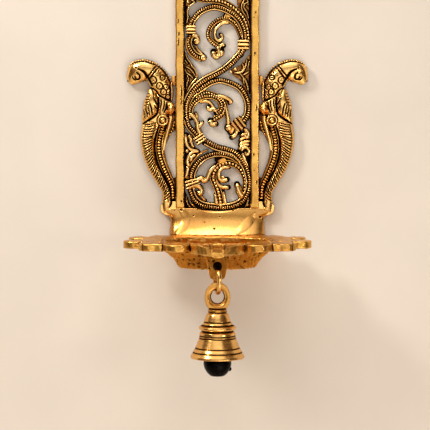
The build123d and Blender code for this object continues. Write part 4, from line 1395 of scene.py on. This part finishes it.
    def strands(self, name: str) -> list[bpy.types.Mesh]:
        """The plain cords at the knob and the ribbed strand down the tail."""
        tree = cord_tree()
        path = smooth_line(self.mm(self.plain_strand), 0.5)
        ring = smooth_line(self.ring(self.knob), 0.4)
        plain = [lifted(path, self.loop_level, path[:, 2], 1.9),
                 lifted(ring, self.knob_ring_level, 0.62, 1.6)]
        path = smooth_line(self.mm(self.bead_strand), 0.5)
        ribbed = [lifted(path, self.strand_level, np.linspace(1.55, 1.15, len(path)), 1.35)]
        return [
            tree.run(name, wires(name, plain, "half", "rise"), Finish.BIRD, Pitch=4 * MM, Rib_Depth=0.0,
                     Valley=1.0, Back=self.cord_back * MM),
            tree.run(name, wires(name, ribbed, "half", "rise"), Finish.BIRD, Pitch=1.9 * MM, Rib_Depth=0.42,
                     Valley=0.0, Back=self.strand_level * MM),
        ]

    def bird(self, name: str) -> bpy.types.Mesh:
        """The left bird in one mesh."""
        shape = Shape()
        for rows in self.limbs:
            shape.limb(self.mm(rows), -self.back, self.fullness)
        for outline, height in self.plates:
            shape.plate(self.mm(outline), -self.back, -self.back - height * self.unit)
        body = cast(shape.mesh(name), self.skin, 2)
        carve(body, self.strokes())
        front = Surface(body)
        knob, eye = self.mm([self.knob[:2], self.eye])
        return joined(name, [
            body, *self.beads(name, front), *self.strands(name),
            ball_mesh(name, (knob[0], self.knob_level, knob[1]), (2.1, 2.0, 2.1)),
            ball_mesh(name, (eye[0], front.depth(*eye) + 0.30, eye[1]), (0.75, 0.6, 0.75)),
        ])


@dataclass
class Rails:
    """Two filed bars beside the openwork, with the pits of their casting: across, up and half length."""

    skin: float = 0.42
    pits: Sequence[tuple] = (
        (-26.9, -107.0, 3.2), (-26.6, -101.5, 1.2), (-25.0, -141.5, 4.6), (-24.8, -148.0, 2.0),
        (-24.6, -216.4, 0.7), (-26.9, -93.0, 1.6), (-25.6, -66.0, 1.0), (25.4, -115.0, 1.2),
        (26.6, -152.0, 2.2), (24.6, -184.0, 1.0), (25.9, -87.0, 0.9), (26.8, -203.0, 1.6),
    )

    def build(self) -> None:
        """Builds both bars."""
        for node in ("left_rail", "right_rail"):
            low, high = box_mm(node)
            # half width of the painted shadow line along the bar's inner edge, wider on the right bar
            inner, half = (high[0], 0.45) if node == "left_rail" else (low[0], 0.80)
            strokes = []
            for across, up, long in self.pits:
                if across * inner > 0:
                    line = [(across, up - long), (across + 0.25, up), (across, up + long)]
                    strokes.append(Stroke(line, 0.45, 0.55, 0.7))
            # painted shadow: a dark line along the inner edge, where the openwork meets the bar
            edge = inner + math.copysign(0.25, inner)
            strokes.append(Stroke([(edge, low[2] + 3.5), (edge, high[2])], half, 0.8))
            mesh = cast_node(node, node + "_bar", self.skin, strokes)
            warped(mesh, lambda places: self.wave(places, inner))
            piece(node + "_bar", mesh, Finish.RAIL, "root", node)

    @staticmethod
    def wave(places: np.ndarray, inner: float) -> None:
        """Gives a bar the slight waves of hand filing, least at the back."""
        up = places[:, 2]
        front = np.clip(-places[:, 1] / 5.0, 0, 1)
        swing = 0.16 * np.sin(up * 0.19 + inner) + 0.10 * np.sin(up * 0.47 + 2 * inner)
        places[:, 0] += swing * front
        places[:, 1] += (0.10 + 0.10 * np.sin(up * 0.31 + inner)) * front


@dataclass
class Crest:
    """Plate with the nail eye above the openwork."""

    skin: float = 0.42

    def build(self) -> None:
        """Builds the plate with a raised border and a row of beads."""
        foot = box_mm("top_crest")[0][2]
        strokes = [Stroke(circle(25) * 4.9, 0.35, 0.5)]
        for side, middle in ((4.2, 5.6), (7.6, 9.4)):
            strokes.append(Stroke([(-20, foot + side), (0, foot + middle), (20, foot + side)], 0.40, 0.6))
        mesh = cast_node("top_crest", "crest_plate", self.skin, strokes)
        front = Surface(mesh)
        path = smooth_line([(-19.0, foot + 5.9), (0, foot + 7.5), (19.0, foot + 5.9)], 0.4)
        depth = [front.depth(*place) + 0.1 for place in path]
        edges = wires("crest_beads", [lifted(path, depth, 0.85)], "half")
        beads = bead_tree().run("crest_beads", edges, Finish.RAIL, Pitch=1.8 * MM)
        plate = joined("crest_plate_cast", [mesh, beads])
        piece("crest_plate_cast", plate, Finish.RAIL, "root", "top_crest")


@dataclass
class Dish:
    """Scoop, lobed dish, wick spout and lug."""

    bowl_middle: float = -47.0
    bowl_flatness: float = 0.72
    bowl_eye: float = -254.1
    lug_eye: float = -252.7
    rim_top: float = -237.6
    rim_foot: float = -245.0
    cleft_front: float = -52.0
    scoop_pits: Sequence[tuple] = ((-25.0, -222.0, 0.7), (-2.2, -234.6, 0.6), (10.5, -222.4, 0.5),
                                   (-16.6, -226.0, 0.45), (1.4, -226.6, 0.4), (29.2, -226.8, 0.7),
                                   (-9.0, -230.4, 0.35))
    # clefts between the front lobes: across, half width and lean; they are darkened as painted shade
    rim_clefts: Sequence[tuple] = ((-49.5, 0.45, 0.8), (-35.6, 0.5, -0.9), (-18.4, 0.4, 0.9),
                                   (12.4, 0.35, 0.0), (18.4, 0.15, -0.8), (35.8, 0.45, 0.8),
                                   (49.6, 0.4, -0.6))
    scoop_front: float = 5.0
    scoop_reach: float = 8.2
    scoop_section: Rows = ((0.0, 0.0, 37.6, 6.0), (0.10, 0.0, 38.0, 6.0), (0.20, 0.0, 37.0, 5.5),
                           (0.28, 0.0, 34.4, 5.0), (0.36, 0.0, 32.6, 4.6), (0.60, 0.0, 32.2, 4.0),
                           (0.82, 0.0, 32.8, 3.6), (1.0, 0.0, 33.0, 3.4))
    spout_section: Rows = ((14.5, -68.0, -245.3), (11.2, -82.0, -245.7), (7.4, -95.4, -246.1))
    bowl_section: Rows = ((20.5, -251.6), (23.0, -250.6), (28.0, -247.5), (33.5, -244.2), (36.9, -243.6),
                          (36.6, -245.0), (33.0, -247.6), (29.6, -250.4), (27.6, -253.0), (26.2, -255.6),
                          (25.0, -256.6), (23.0, -256.9))

    def build(self) -> None:
        """Builds every part of the dish."""
        piece("scoop_cove", self.scoop(), Finish.SCOOP, "root", "back_scoop")
        piece("lobed_rim", self.rim(), Finish.DISH, "root", "dish_rim")
        piece("bowl_underside", self.bowl(), Finish.ROUGH, "root", "dish_bowl")
        piece("spout_block", self.spout(), Finish.DISH, "root", "wick_spout")
        piece("lug_plate", self.lug(), Finish.ROUGH, "root", "bell_lug")

    def rim(self) -> bpy.types.Mesh:
        """The lobed rim, with petal lines on its top and dark clefts between its front lobes."""
        rim = dented(cast(cad_mesh("dish_rim", "lobed_rim"), 0.40, 22), 0.20)
        carve(rim, self.petals(), Seen.ABOVE)
        # painted shade: the clefts between the front lobes are darkened
        carve(rim, [Stroke([(across, self.rim_top), (across + lean, self.rim_foot)], half, 0.8)
                    for across, half, lean in self.rim_clefts], before=self.cleft_front)
        return rim

    def spout(self) -> bpy.types.Mesh:
        """The faceted wick spout on its block."""
        block = Shape()
        block.loft([np.array([(-half, depth, -243.0), (half, depth, -243.0), (0.94 * half, depth, foot),
                              (0.3 * half, depth, foot - 0.5), (-0.9 * half, depth, foot - 0.1)])
                    for half, depth, foot in self.spout_section])
        cut = joined("spout_block", [cad_mesh("wick_spout", "spout_part"), block.mesh("spout_lip")])
        spout = dented(warped(cast(cut, 0.30, 5), self.prow), 0.16)
        carve(spout, [Stroke([(side * 5.4, -76), (side * 4.6, -94)], 0.4, 0.5, 0.3) for side in (-1, 1)],
              Seen.ABOVE)
        return spout

    def lug(self) -> bpy.types.Mesh:
        """The flat lug that flares under the spout, dark in its eye."""
        root = Shape()
        root.plate([(-6.2, -244.6), (6.2, -244.6), (5.6, -247.6), (5.0, -250.3), (-5.0, -250.3),
                    (-5.6, -247.6)], -78.2, -82.4)
        lug = cast(joined("lug_plate", [cad_mesh("bell_lug", "lug_part"), root.mesh("lug_root")]), 0.2, 7)
        dented(warped(lug, self.broad), 0.15, 4.0)
        # painted shade in the lug's eye
        self.shade_eye(lug, self.lug_eye, 2.7, 0.5)
        return lug

    @staticmethod
    def shade_eye(mesh: bpy.types.Mesh, level: float, radius: float, soft: float,
                  before: float = 0.0) -> None:
        """Darkens the metal in and behind the eye of the lug.

        Args:
            mesh: the lug, or what stands behind it.
            level: height of the eye's middle.
            radius: how far from it the metal is quite dark.
            soft: how much farther it takes to be bright.
            before: what lies behind this depth stays bright.
        """
        # painted shade: the metal in and behind the eye is darkened so that the hole reads dark
        across, deep, up = point_rows(mesh).T / MM
        away = np.hypot(across, up - level) + np.maximum(deep - before, 0.0)
        write_relief(mesh, np.clip((away - radius) / soft, 0.0, 1.0))

    @staticmethod
    def prow(places: np.ndarray) -> None:
        """Draws the tip of the spout in to a blunt prow with a sloping top."""
        tip = np.clip((-84.0 - places[:, 1]) / 12.5, 0, 1)
        tip = tip * tip * (3 - 2 * tip)
        out = np.maximum(np.abs(places[:, 0]) - 3.2, 0)
        places[:, 0] -= np.sign(places[:, 0]) * out * 0.72 * tip
        places[:, 2] -= np.maximum(places[:, 2] + 245.4, 0) * 0.30 * tip
        places[:, 2] += np.abs(places[:, 0]) * 0.22 * tip * (places[:, 2] < -243.6)

    @staticmethod
    def broad(places: np.ndarray) -> None:
        """Widens the lug outside its hole."""
        out = np.maximum(np.abs(places[:, 0]) - 2.7, 0)
        places[:, 0] += np.sign(places[:, 0]) * out * 0.62

    def bowl(self) -> bpy.types.Mesh:
        """The bowl below the rim: a funnel with a flat foot, hollow from above."""
        shape = Shape()
        shape.loft([np.column_stack((circle(96, closed=False) * (wide, self.bowl_flatness * wide)
                                     + (0, self.bowl_middle), np.full(96, up)))
                    for wide, up in self.bowl_section])
        bowl = dented(cast(shape.mesh("bowl_underside"), 0.42, 2), 0.55, 3.6)
        # painted shade on the bowl where it is seen through the lug's eye
        self.shade_eye(bowl, self.bowl_eye, 2.1, 1.0, before=-65.0)
        return bowl

    def scoop(self) -> bpy.types.Mesh:
        """The concave back of the dish, with rounded shoulders above a narrow waist, creased and pitted."""
        foot, top = (corner[2] for corner in box_mm("back_scoop"))
        turn = np.linspace(-math.pi / 2, math.pi / 2, 61)
        across = np.sin(turn)
        rings = []
        for row in smooth_line(self.scoop_section, 0.03):
            share, wide, power = row[0], row[2], row[3]
            reach = self.scoop_front + self.scoop_reach * share ** 2.2
            front = -reach * (1 - np.abs(across) ** power) ** (1 / power)
            level = top + (foot - top) * share
            arc = np.column_stack((across * wide, np.minimum(front, -0.6), np.full(61, level)))
            rings.append(np.vstack((arc, [(wide, -0.2, level), (-wide, -0.2, level)])))
        shape = Shape()
        shape.loft(rings)
        scoop = dented(cast(shape.mesh("scoop_cove"), 0.34, 8), 0.04, 12.0)
        creases = [
            Stroke([(-25.2, top - 1.0), (-21.8, top - 5.5), (-22.2, top - 11), (-27.6, top - 16.4)],
                   3.2, -0.4, 0.5),
            Stroke([(24.8, top - 3.6), (21.2, top - 9.6), (14.0, top - 16.0)], 3.2, -0.4, 0.5),
            Stroke([(-12.5, top + 0.6), (0, top + 0.2), (12.5, top + 0.6)], 3.3, 1.9, 0.45),
        ]
        carve(scoop, creases + [Stroke([(across, up), (across + 0.5, up - 0.2)], half, 0.6)
                                for across, up, half in self.scoop_pits])
        return scoop

    @staticmethod
    def petals() -> list[Stroke]:
        """Lines cut in the top of the dish between its lobes."""
        lines = ([(27, -40), (50, -31)], [(28, -47), (53, -42)], [(27, -54), (50, -59)],
                 [(22, -60), (38, -72)], [(28, -35), (41, -25)])
        strokes = [Stroke(np.array(line) * (side, 1), 0.95, 0.8, 0.5) for side in (-1, 1) for line in lines]
        strokes.append(Stroke(circle(49) * (37.0, 26.0) + (0, -47), 0.40, 0.5))
        return strokes


def turned_tree() -> PathTree:
    """Tree that turns a profile wire round the upright axis through Centre X, Centre Y.

    The wire runs in X and Z, with X as the radius, and carries shade, its relief.
    """
    made = PathTree("turned_forms", {"Centre X": 0.0, "Centre Y": 0.0, "Around": 144.0, "Along": 260.0})
    graph = made.graph
    around, along = made.size("Around"), made.size("Along")
    grid = graph.node("GeometryNodeMeshGrid", {"Size X": 1.0, "Size Y": 1.0,
                                               "Vertices X": around, "Vertices Y": along})
    parts = graph.node("ShaderNodeSeparateXYZ", {0: graph.node("GeometryNodeInputPosition")})
    turn = (graph.value(parts, "X") + 0.5) * (2 * math.pi)
    share = (graph.value(parts, "Y") + 0.5).at_least(0.0).at_most(1.0)
    read = {"Curves": made.curves(), "Value": made.named("shade"), "Factor": share}
    sample = graph.node("GeometryNodeSampleCurve", read, data_type="FLOAT", mode="FACTOR")
    spot = graph.node("ShaderNodeSeparateXYZ", {0: graph.find(sample.outputs, "Position")})
    radius = graph.value(spot, "X")
    away = {"X": radius * turn.math("COSINE", turn) + made.size("Centre X"),
            "Y": radius * turn.math("SINE", turn) + made.size("Centre Y"), "Z": graph.value(spot, "Z")}
    moved = graph.node("ShaderNodeCombineXYZ", away)
    marked = made.store(grid, graph.value(sample, "Value"))
    shaped = graph.node("GeometryNodeSetPosition", {"Geometry": marked, "Position": moved})
    whole = graph.node("GeometryNodeMergeByDistance", {"Geometry": shaped, "Distance": 0.004 * MM})
    return made.close(whole)


@dataclass
class Bell:
    """Bell with its loop, and black clapper."""

    height_and_radius: Rows = (
        (1.0, 0.0), (1.0, 0.20), (1.0, 0.31), (0.985, 0.365), (0.955, 0.405), (0.90, 0.445), (0.85, 0.475),
        (0.815, 0.495), (0.803, 0.488), (0.795, 0.470), (0.787, 0.490), (0.775, 0.515), (0.75, 0.545),
        (0.735, 0.55), (0.723, 0.53), (0.715, 0.60), (0.700, 0.65), (0.685, 0.680), (0.662, 0.690),
        (0.640, 0.682), (0.622, 0.65), (0.608, 0.60), (0.590, 0.585), (0.572, 0.610), (0.556, 0.655),
        (0.53, 0.665), (0.503, 0.668), (0.492, 0.645), (0.481, 0.668), (0.466, 0.676), (0.452, 0.674),
        (0.441, 0.650), (0.430, 0.680), (0.38, 0.716), (0.32, 0.758), (0.25, 0.808), (0.236, 0.818),
        (0.226, 0.796), (0.216, 0.828), (0.20, 0.845), (0.155, 0.893), (0.141, 0.900), (0.130, 0.880),
        (0.119, 0.915), (0.090, 0.945), (0.055, 0.985), (0.028, 1.0), (0.008, 0.995), (0.0, 0.975),
        (0.0, 0.935), (0.02, 0.905), (0.12, 0.84), (0.25, 0.745), (0.45, 0.60), (0.65, 0.50), (0.80, 0.43),
        (0.90, 0.36), (0.925, 0.20), (0.9264, 0.0))
    grooves_share: Sequence[float] = (0.795, 0.724, 0.590, 0.492, 0.441, 0.226, 0.130)
    hole_level: float = -272.85
    ball_share: Rows = ((1.0, 0.0), (0.985, 0.20), (0.93, 0.44), (0.83, 0.68), (0.70, 0.86), (0.56, 0.97),
                        (0.48, 1.0), (0.40, 0.985), (0.27, 0.91), (0.14, 0.76), (0.05, 0.60), (0.012, 0.50),
                        (0.0, 0.42), (0.0, 0.20), (0.0, 0.0))

    def loop(self) -> bpy.types.Mesh:
        """The loop with a narrower hole and dark lines round the hole and the neck."""
        around = circle(41)[:, ::-1]
        lining = Shape()
        rows = np.column_stack((around * (4.85, 5.05) + (0, self.hole_level), np.full(41, 0.62)))[6:-6]
        lining.band(rows, -78.1, -81.9)
        parts = [cad_mesh("bell_loop", "loop_part"), lining.mesh("loop_lining")]
        mesh = cast(joined("loop_ring", parts), 0.2, 7)
        neck = [Stroke([(-6.6, level + 0.5), (0, level), (6.6, level + 0.5)], 0.42, 0.6)
                for level in (-281.0, -283.1)]
        carve(mesh, neck + [Stroke(around * (4.45, 4.75) + (0, self.hole_level), 0.45, 0.45)])
        return mesh

    def build(self) -> None:
        """Builds the turned forms and the loop."""
        tree = turned_tree()
        piece("loop_ring", self.loop(), Finish.DISH, "bell", "bell_loop")
        low, high = box_mm("bell_shell")
        shell = self.turned(tree, "bell_turned", self.height_and_radius, low, high, self.grooves_share,
                            Finish.TURNED)
        piece("bell_turned", shell, Finish.TURNED, "bell", "bell_shell")
        low, high = box_mm("clapper_ball")
        high[2] = low[2] + 17.8
        ball = self.turned(tree, "clapper_turned", self.ball_share, low, high, (), Finish.PAINT)
        nub = ball_mesh("clapper_nub", (8.0, (low[1] + high[1]) / 2, low[2] + 4.6), (1.3, 1.2, 1.5))
        ball = joined("clapper_turned", [ball, nub])
        piece("clapper_turned", ball, Finish.PAINT, "clapper", "clapper_ball")

    @staticmethod
    def turned(tree: PathTree, name: str, shares: Rows, low: np.ndarray, high: np.ndarray,
               grooves: Sequence[float], finish: Finish) -> bpy.types.Mesh:
        """A turned form between the corners of a CAD box.

        Args:
            tree: the turning tree.
            name: name of the mesh.
            shares: rows of height and radius as shares of the box's.
            low: lowest corner.
            high: highest corner.
            grooves: heights, as shares, of the dark grooves.
            finish: its finish.

        Returns:
            The closed mesh.
        """
        centre = (low + high) / 2
        radius = (high[0] - low[0]) / 2
        table = np.array(shares, float)
        profile = np.column_stack((table[:, 1] * radius, low[2] + table[:, 0] * (high[2] - low[2])))
        line = smooth_line(profile, 0.16)
        line[:, 0] = np.maximum(line[:, 0], 0.0)
        line[0, 0] = line[-1, 0] = 0.0
        share = (line[:, 1] - low[2]) / (high[2] - low[2])
        shade = np.ones(len(line))
        for groove in grooves:
            shade = np.minimum(shade, np.clip(np.abs(share - groove) / 0.030 - 0.10, 0, 1))
        # painted shade: the inside of the bell is kept dark
        inside = np.arange(len(line)) > 0.56 * len(line)
        shade = np.where(inside & bool(len(grooves)), 0.25, shade)
        mesh = tree.run(name, wires(name, [lifted(line, 0.0, shade)], "shade"), finish,
                        Centre_X=centre[0] * MM, Centre_Y=centre[1] * MM, Along=float(len(line)))
        edit = bmesh.new()
        edit.from_mesh(mesh)
        bmesh.ops.recalc_face_normals(edit, faces=edit.faces)
        edit.to_mesh(mesh)
        edit.free()
        return mesh


@dataclass
class Stage:
    """Wall, floor, lamps and camera."""

    wall_gap: float = 0.6
    wall_reach: float = 1500.0
    floor_drop: float = 900.0
    camera_reach: float = 1500.0
    camera_pitch: float = 4.7
    aim: tuple[float, float] = (-1.6, -226.0)
    lens: float = 182.5
    sensor: float = 36.0
    lamps: Sequence[tuple] = (
        ("key_lamp", (-580, -460, 430), 180, 4.7, (1.0, 0.96, 0.88)),
        ("side_lamp", (540, -700, -210), 150, 0.7, (1.0, 0.94, 0.85)),
        ("front_lamp", (0, -1650, -420), 1000, 1.4, (1.0, 0.96, 0.88)),
        ("bounce_lamp", (260, -640, -760), 460, 1.65, (1.0, 0.92, 0.80)),
        ("sky_lamp", (-60, -170, 620), 260, 2.1, (1.0, 0.96, 0.88)),
    )

    def build(self) -> None:
        """Makes everything that isn't the lamp."""
        self.plane("wall", Plaster(), [(-1, 0, -0.6), (1, 0, -0.6), (1, 0, 0.6), (-1, 0, 0.6)],
                   (0, self.wall_gap, 0))
        floor = Plaster("floor_plaster", (0.80, 0.71, 0.60))
        self.plane("floor", floor, [(-1, -1, 0), (1, -1, 0), (1, 0, 0), (-1, 0, 0)],
                   (0, self.wall_gap, -self.floor_drop))
        self.world()
        for lamp in self.lamps:
            self.lamp(*lamp)
        self.camera()

    def plane(self, name: str, finish: Plaster, corners: Rows, move: tuple[float, float, float]) -> None:
        """Makes a stage plane from corners in shares of its reach."""
        mesh = bpy.data.meshes.new(name)
        places = [tuple((share * self.wall_reach + shift) * MM for share, shift in zip(row, move))
                  for row in corners]
        mesh.from_pydata(places, [], [(0, 1, 2, 3)])
        mesh.materials.append(finish.build())
        placed(name, mesh)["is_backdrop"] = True

    def world(self) -> None:
        """Sets a soft surrounding that is pale above and dim below."""
        world = bpy.data.worlds.new("studio")
        world.use_nodes = True
        graph = Graph(world.node_tree)
        heading = graph.find(graph.node("ShaderNodeTexCoord").outputs, "Generated")
        parts = graph.node("ShaderNodeSeparateXYZ", {0: heading})
        up, ahead = graph.value(parts, "Z"), graph.value(parts, "Y") * -1.0
        across = graph.value(parts, "X").math("ABSOLUTE", graph.value(parts, "X"))
        front = ahead.ramp(0.70, 0.98) * up.ramp(-0.85, -0.10) * (0.88 - up.ramp(0.05, 0.30) * 0.60)
        softbox = (1.0 - across.ramp(0.34, 0.48)) * up.ramp(0.44, 0.60) * ahead.ramp(-0.1, 0.0)
        room = front + softbox * 1.40 + up.ramp(0.45, 0.90) * 0.20 + 0.12
        tint = graph.mix(room.ramp(0.12, 0.60), (1.0, 0.56, 0.27), (1.0, 0.95, 0.88))
        light = graph.node("ShaderNodeBackground", {"Color": tint, "Strength": room})
        graph.node("ShaderNodeOutputWorld", {"Surface": light})
        bpy.context.scene.world = world

    def lamp(self, name: str, place: Sequence[float], size: float, power: float, tint: Colour) -> None:
        """Makes a square soft lamp that faces the middle of the object."""
        data = bpy.data.lights.new(name, "AREA")
        data.size = size * MM
        data.energy = power
        data.color = tint
        made = placed(name, data)
        made.location = Vector(place) * MM
        target = Vector((0, -30, self.aim[1] + 40)) * MM
        made.rotation_euler = (target - made.location).to_track_quat("-Z", "Y").to_euler()

    def camera(self) -> None:
        """Places the camera at the photograph's viewing angle."""
        data = bpy.data.cameras.new("camera")
        data.lens = self.lens
        data.sensor_width = self.sensor
        data.clip_start = 0.05
        data.clip_end = 20.0
        made = placed("camera", data)
        pitch = math.radians(self.camera_pitch)
        reach = self.camera_reach
        made.location = Vector((self.aim[0], -reach * math.cos(pitch),
                                self.aim[1] + reach * math.sin(pitch))) * MM
        made.rotation_euler = (math.pi / 2 - pitch, 0, 0)
        bpy.context.scene.camera = made


def main() -> None:
    """Builds the stage and the lamp's pieces in order."""
    logging.basicConfig(level=logging.INFO, format="%(message)s")
    scene = bpy.context.scene
    scene.view_settings.view_transform = "Standard"
    Stage().build()
    slots = {part["node"]: part["material_slot"] for part in frame["record"]["subparts"]}
    chosen = {"antique_brass": Finish.RELIEF, "burnished_brass": Finish.DISH,
              "sand_cast_brass": Finish.ROUGH, "black_lacquer": Finish.PAINT}
    for node in frame["nodes"]:
        dress(node, Finish.TURNED if node == "ring_link" else chosen[slots[node]])
    # painted shade: the top of the ring link, where it passes through the lug's eye, is darkened
    link = frame["nodes"]["ring_link"]
    high = box_mm("ring_link")[1][2]
    up = [high - (link.matrix_world @ point.co).z / MM for point in link.data.vertices]
    write_relief(link.data, np.clip(np.array(up) - 2.7, 0.02, 1.0))
    for assembly in (ScrollPanel(), Rails(), Crest(), Parrot(), Dish(), Bell()):
        assembly.build()
    low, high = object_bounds()


if __name__ == "__main__":
    main()
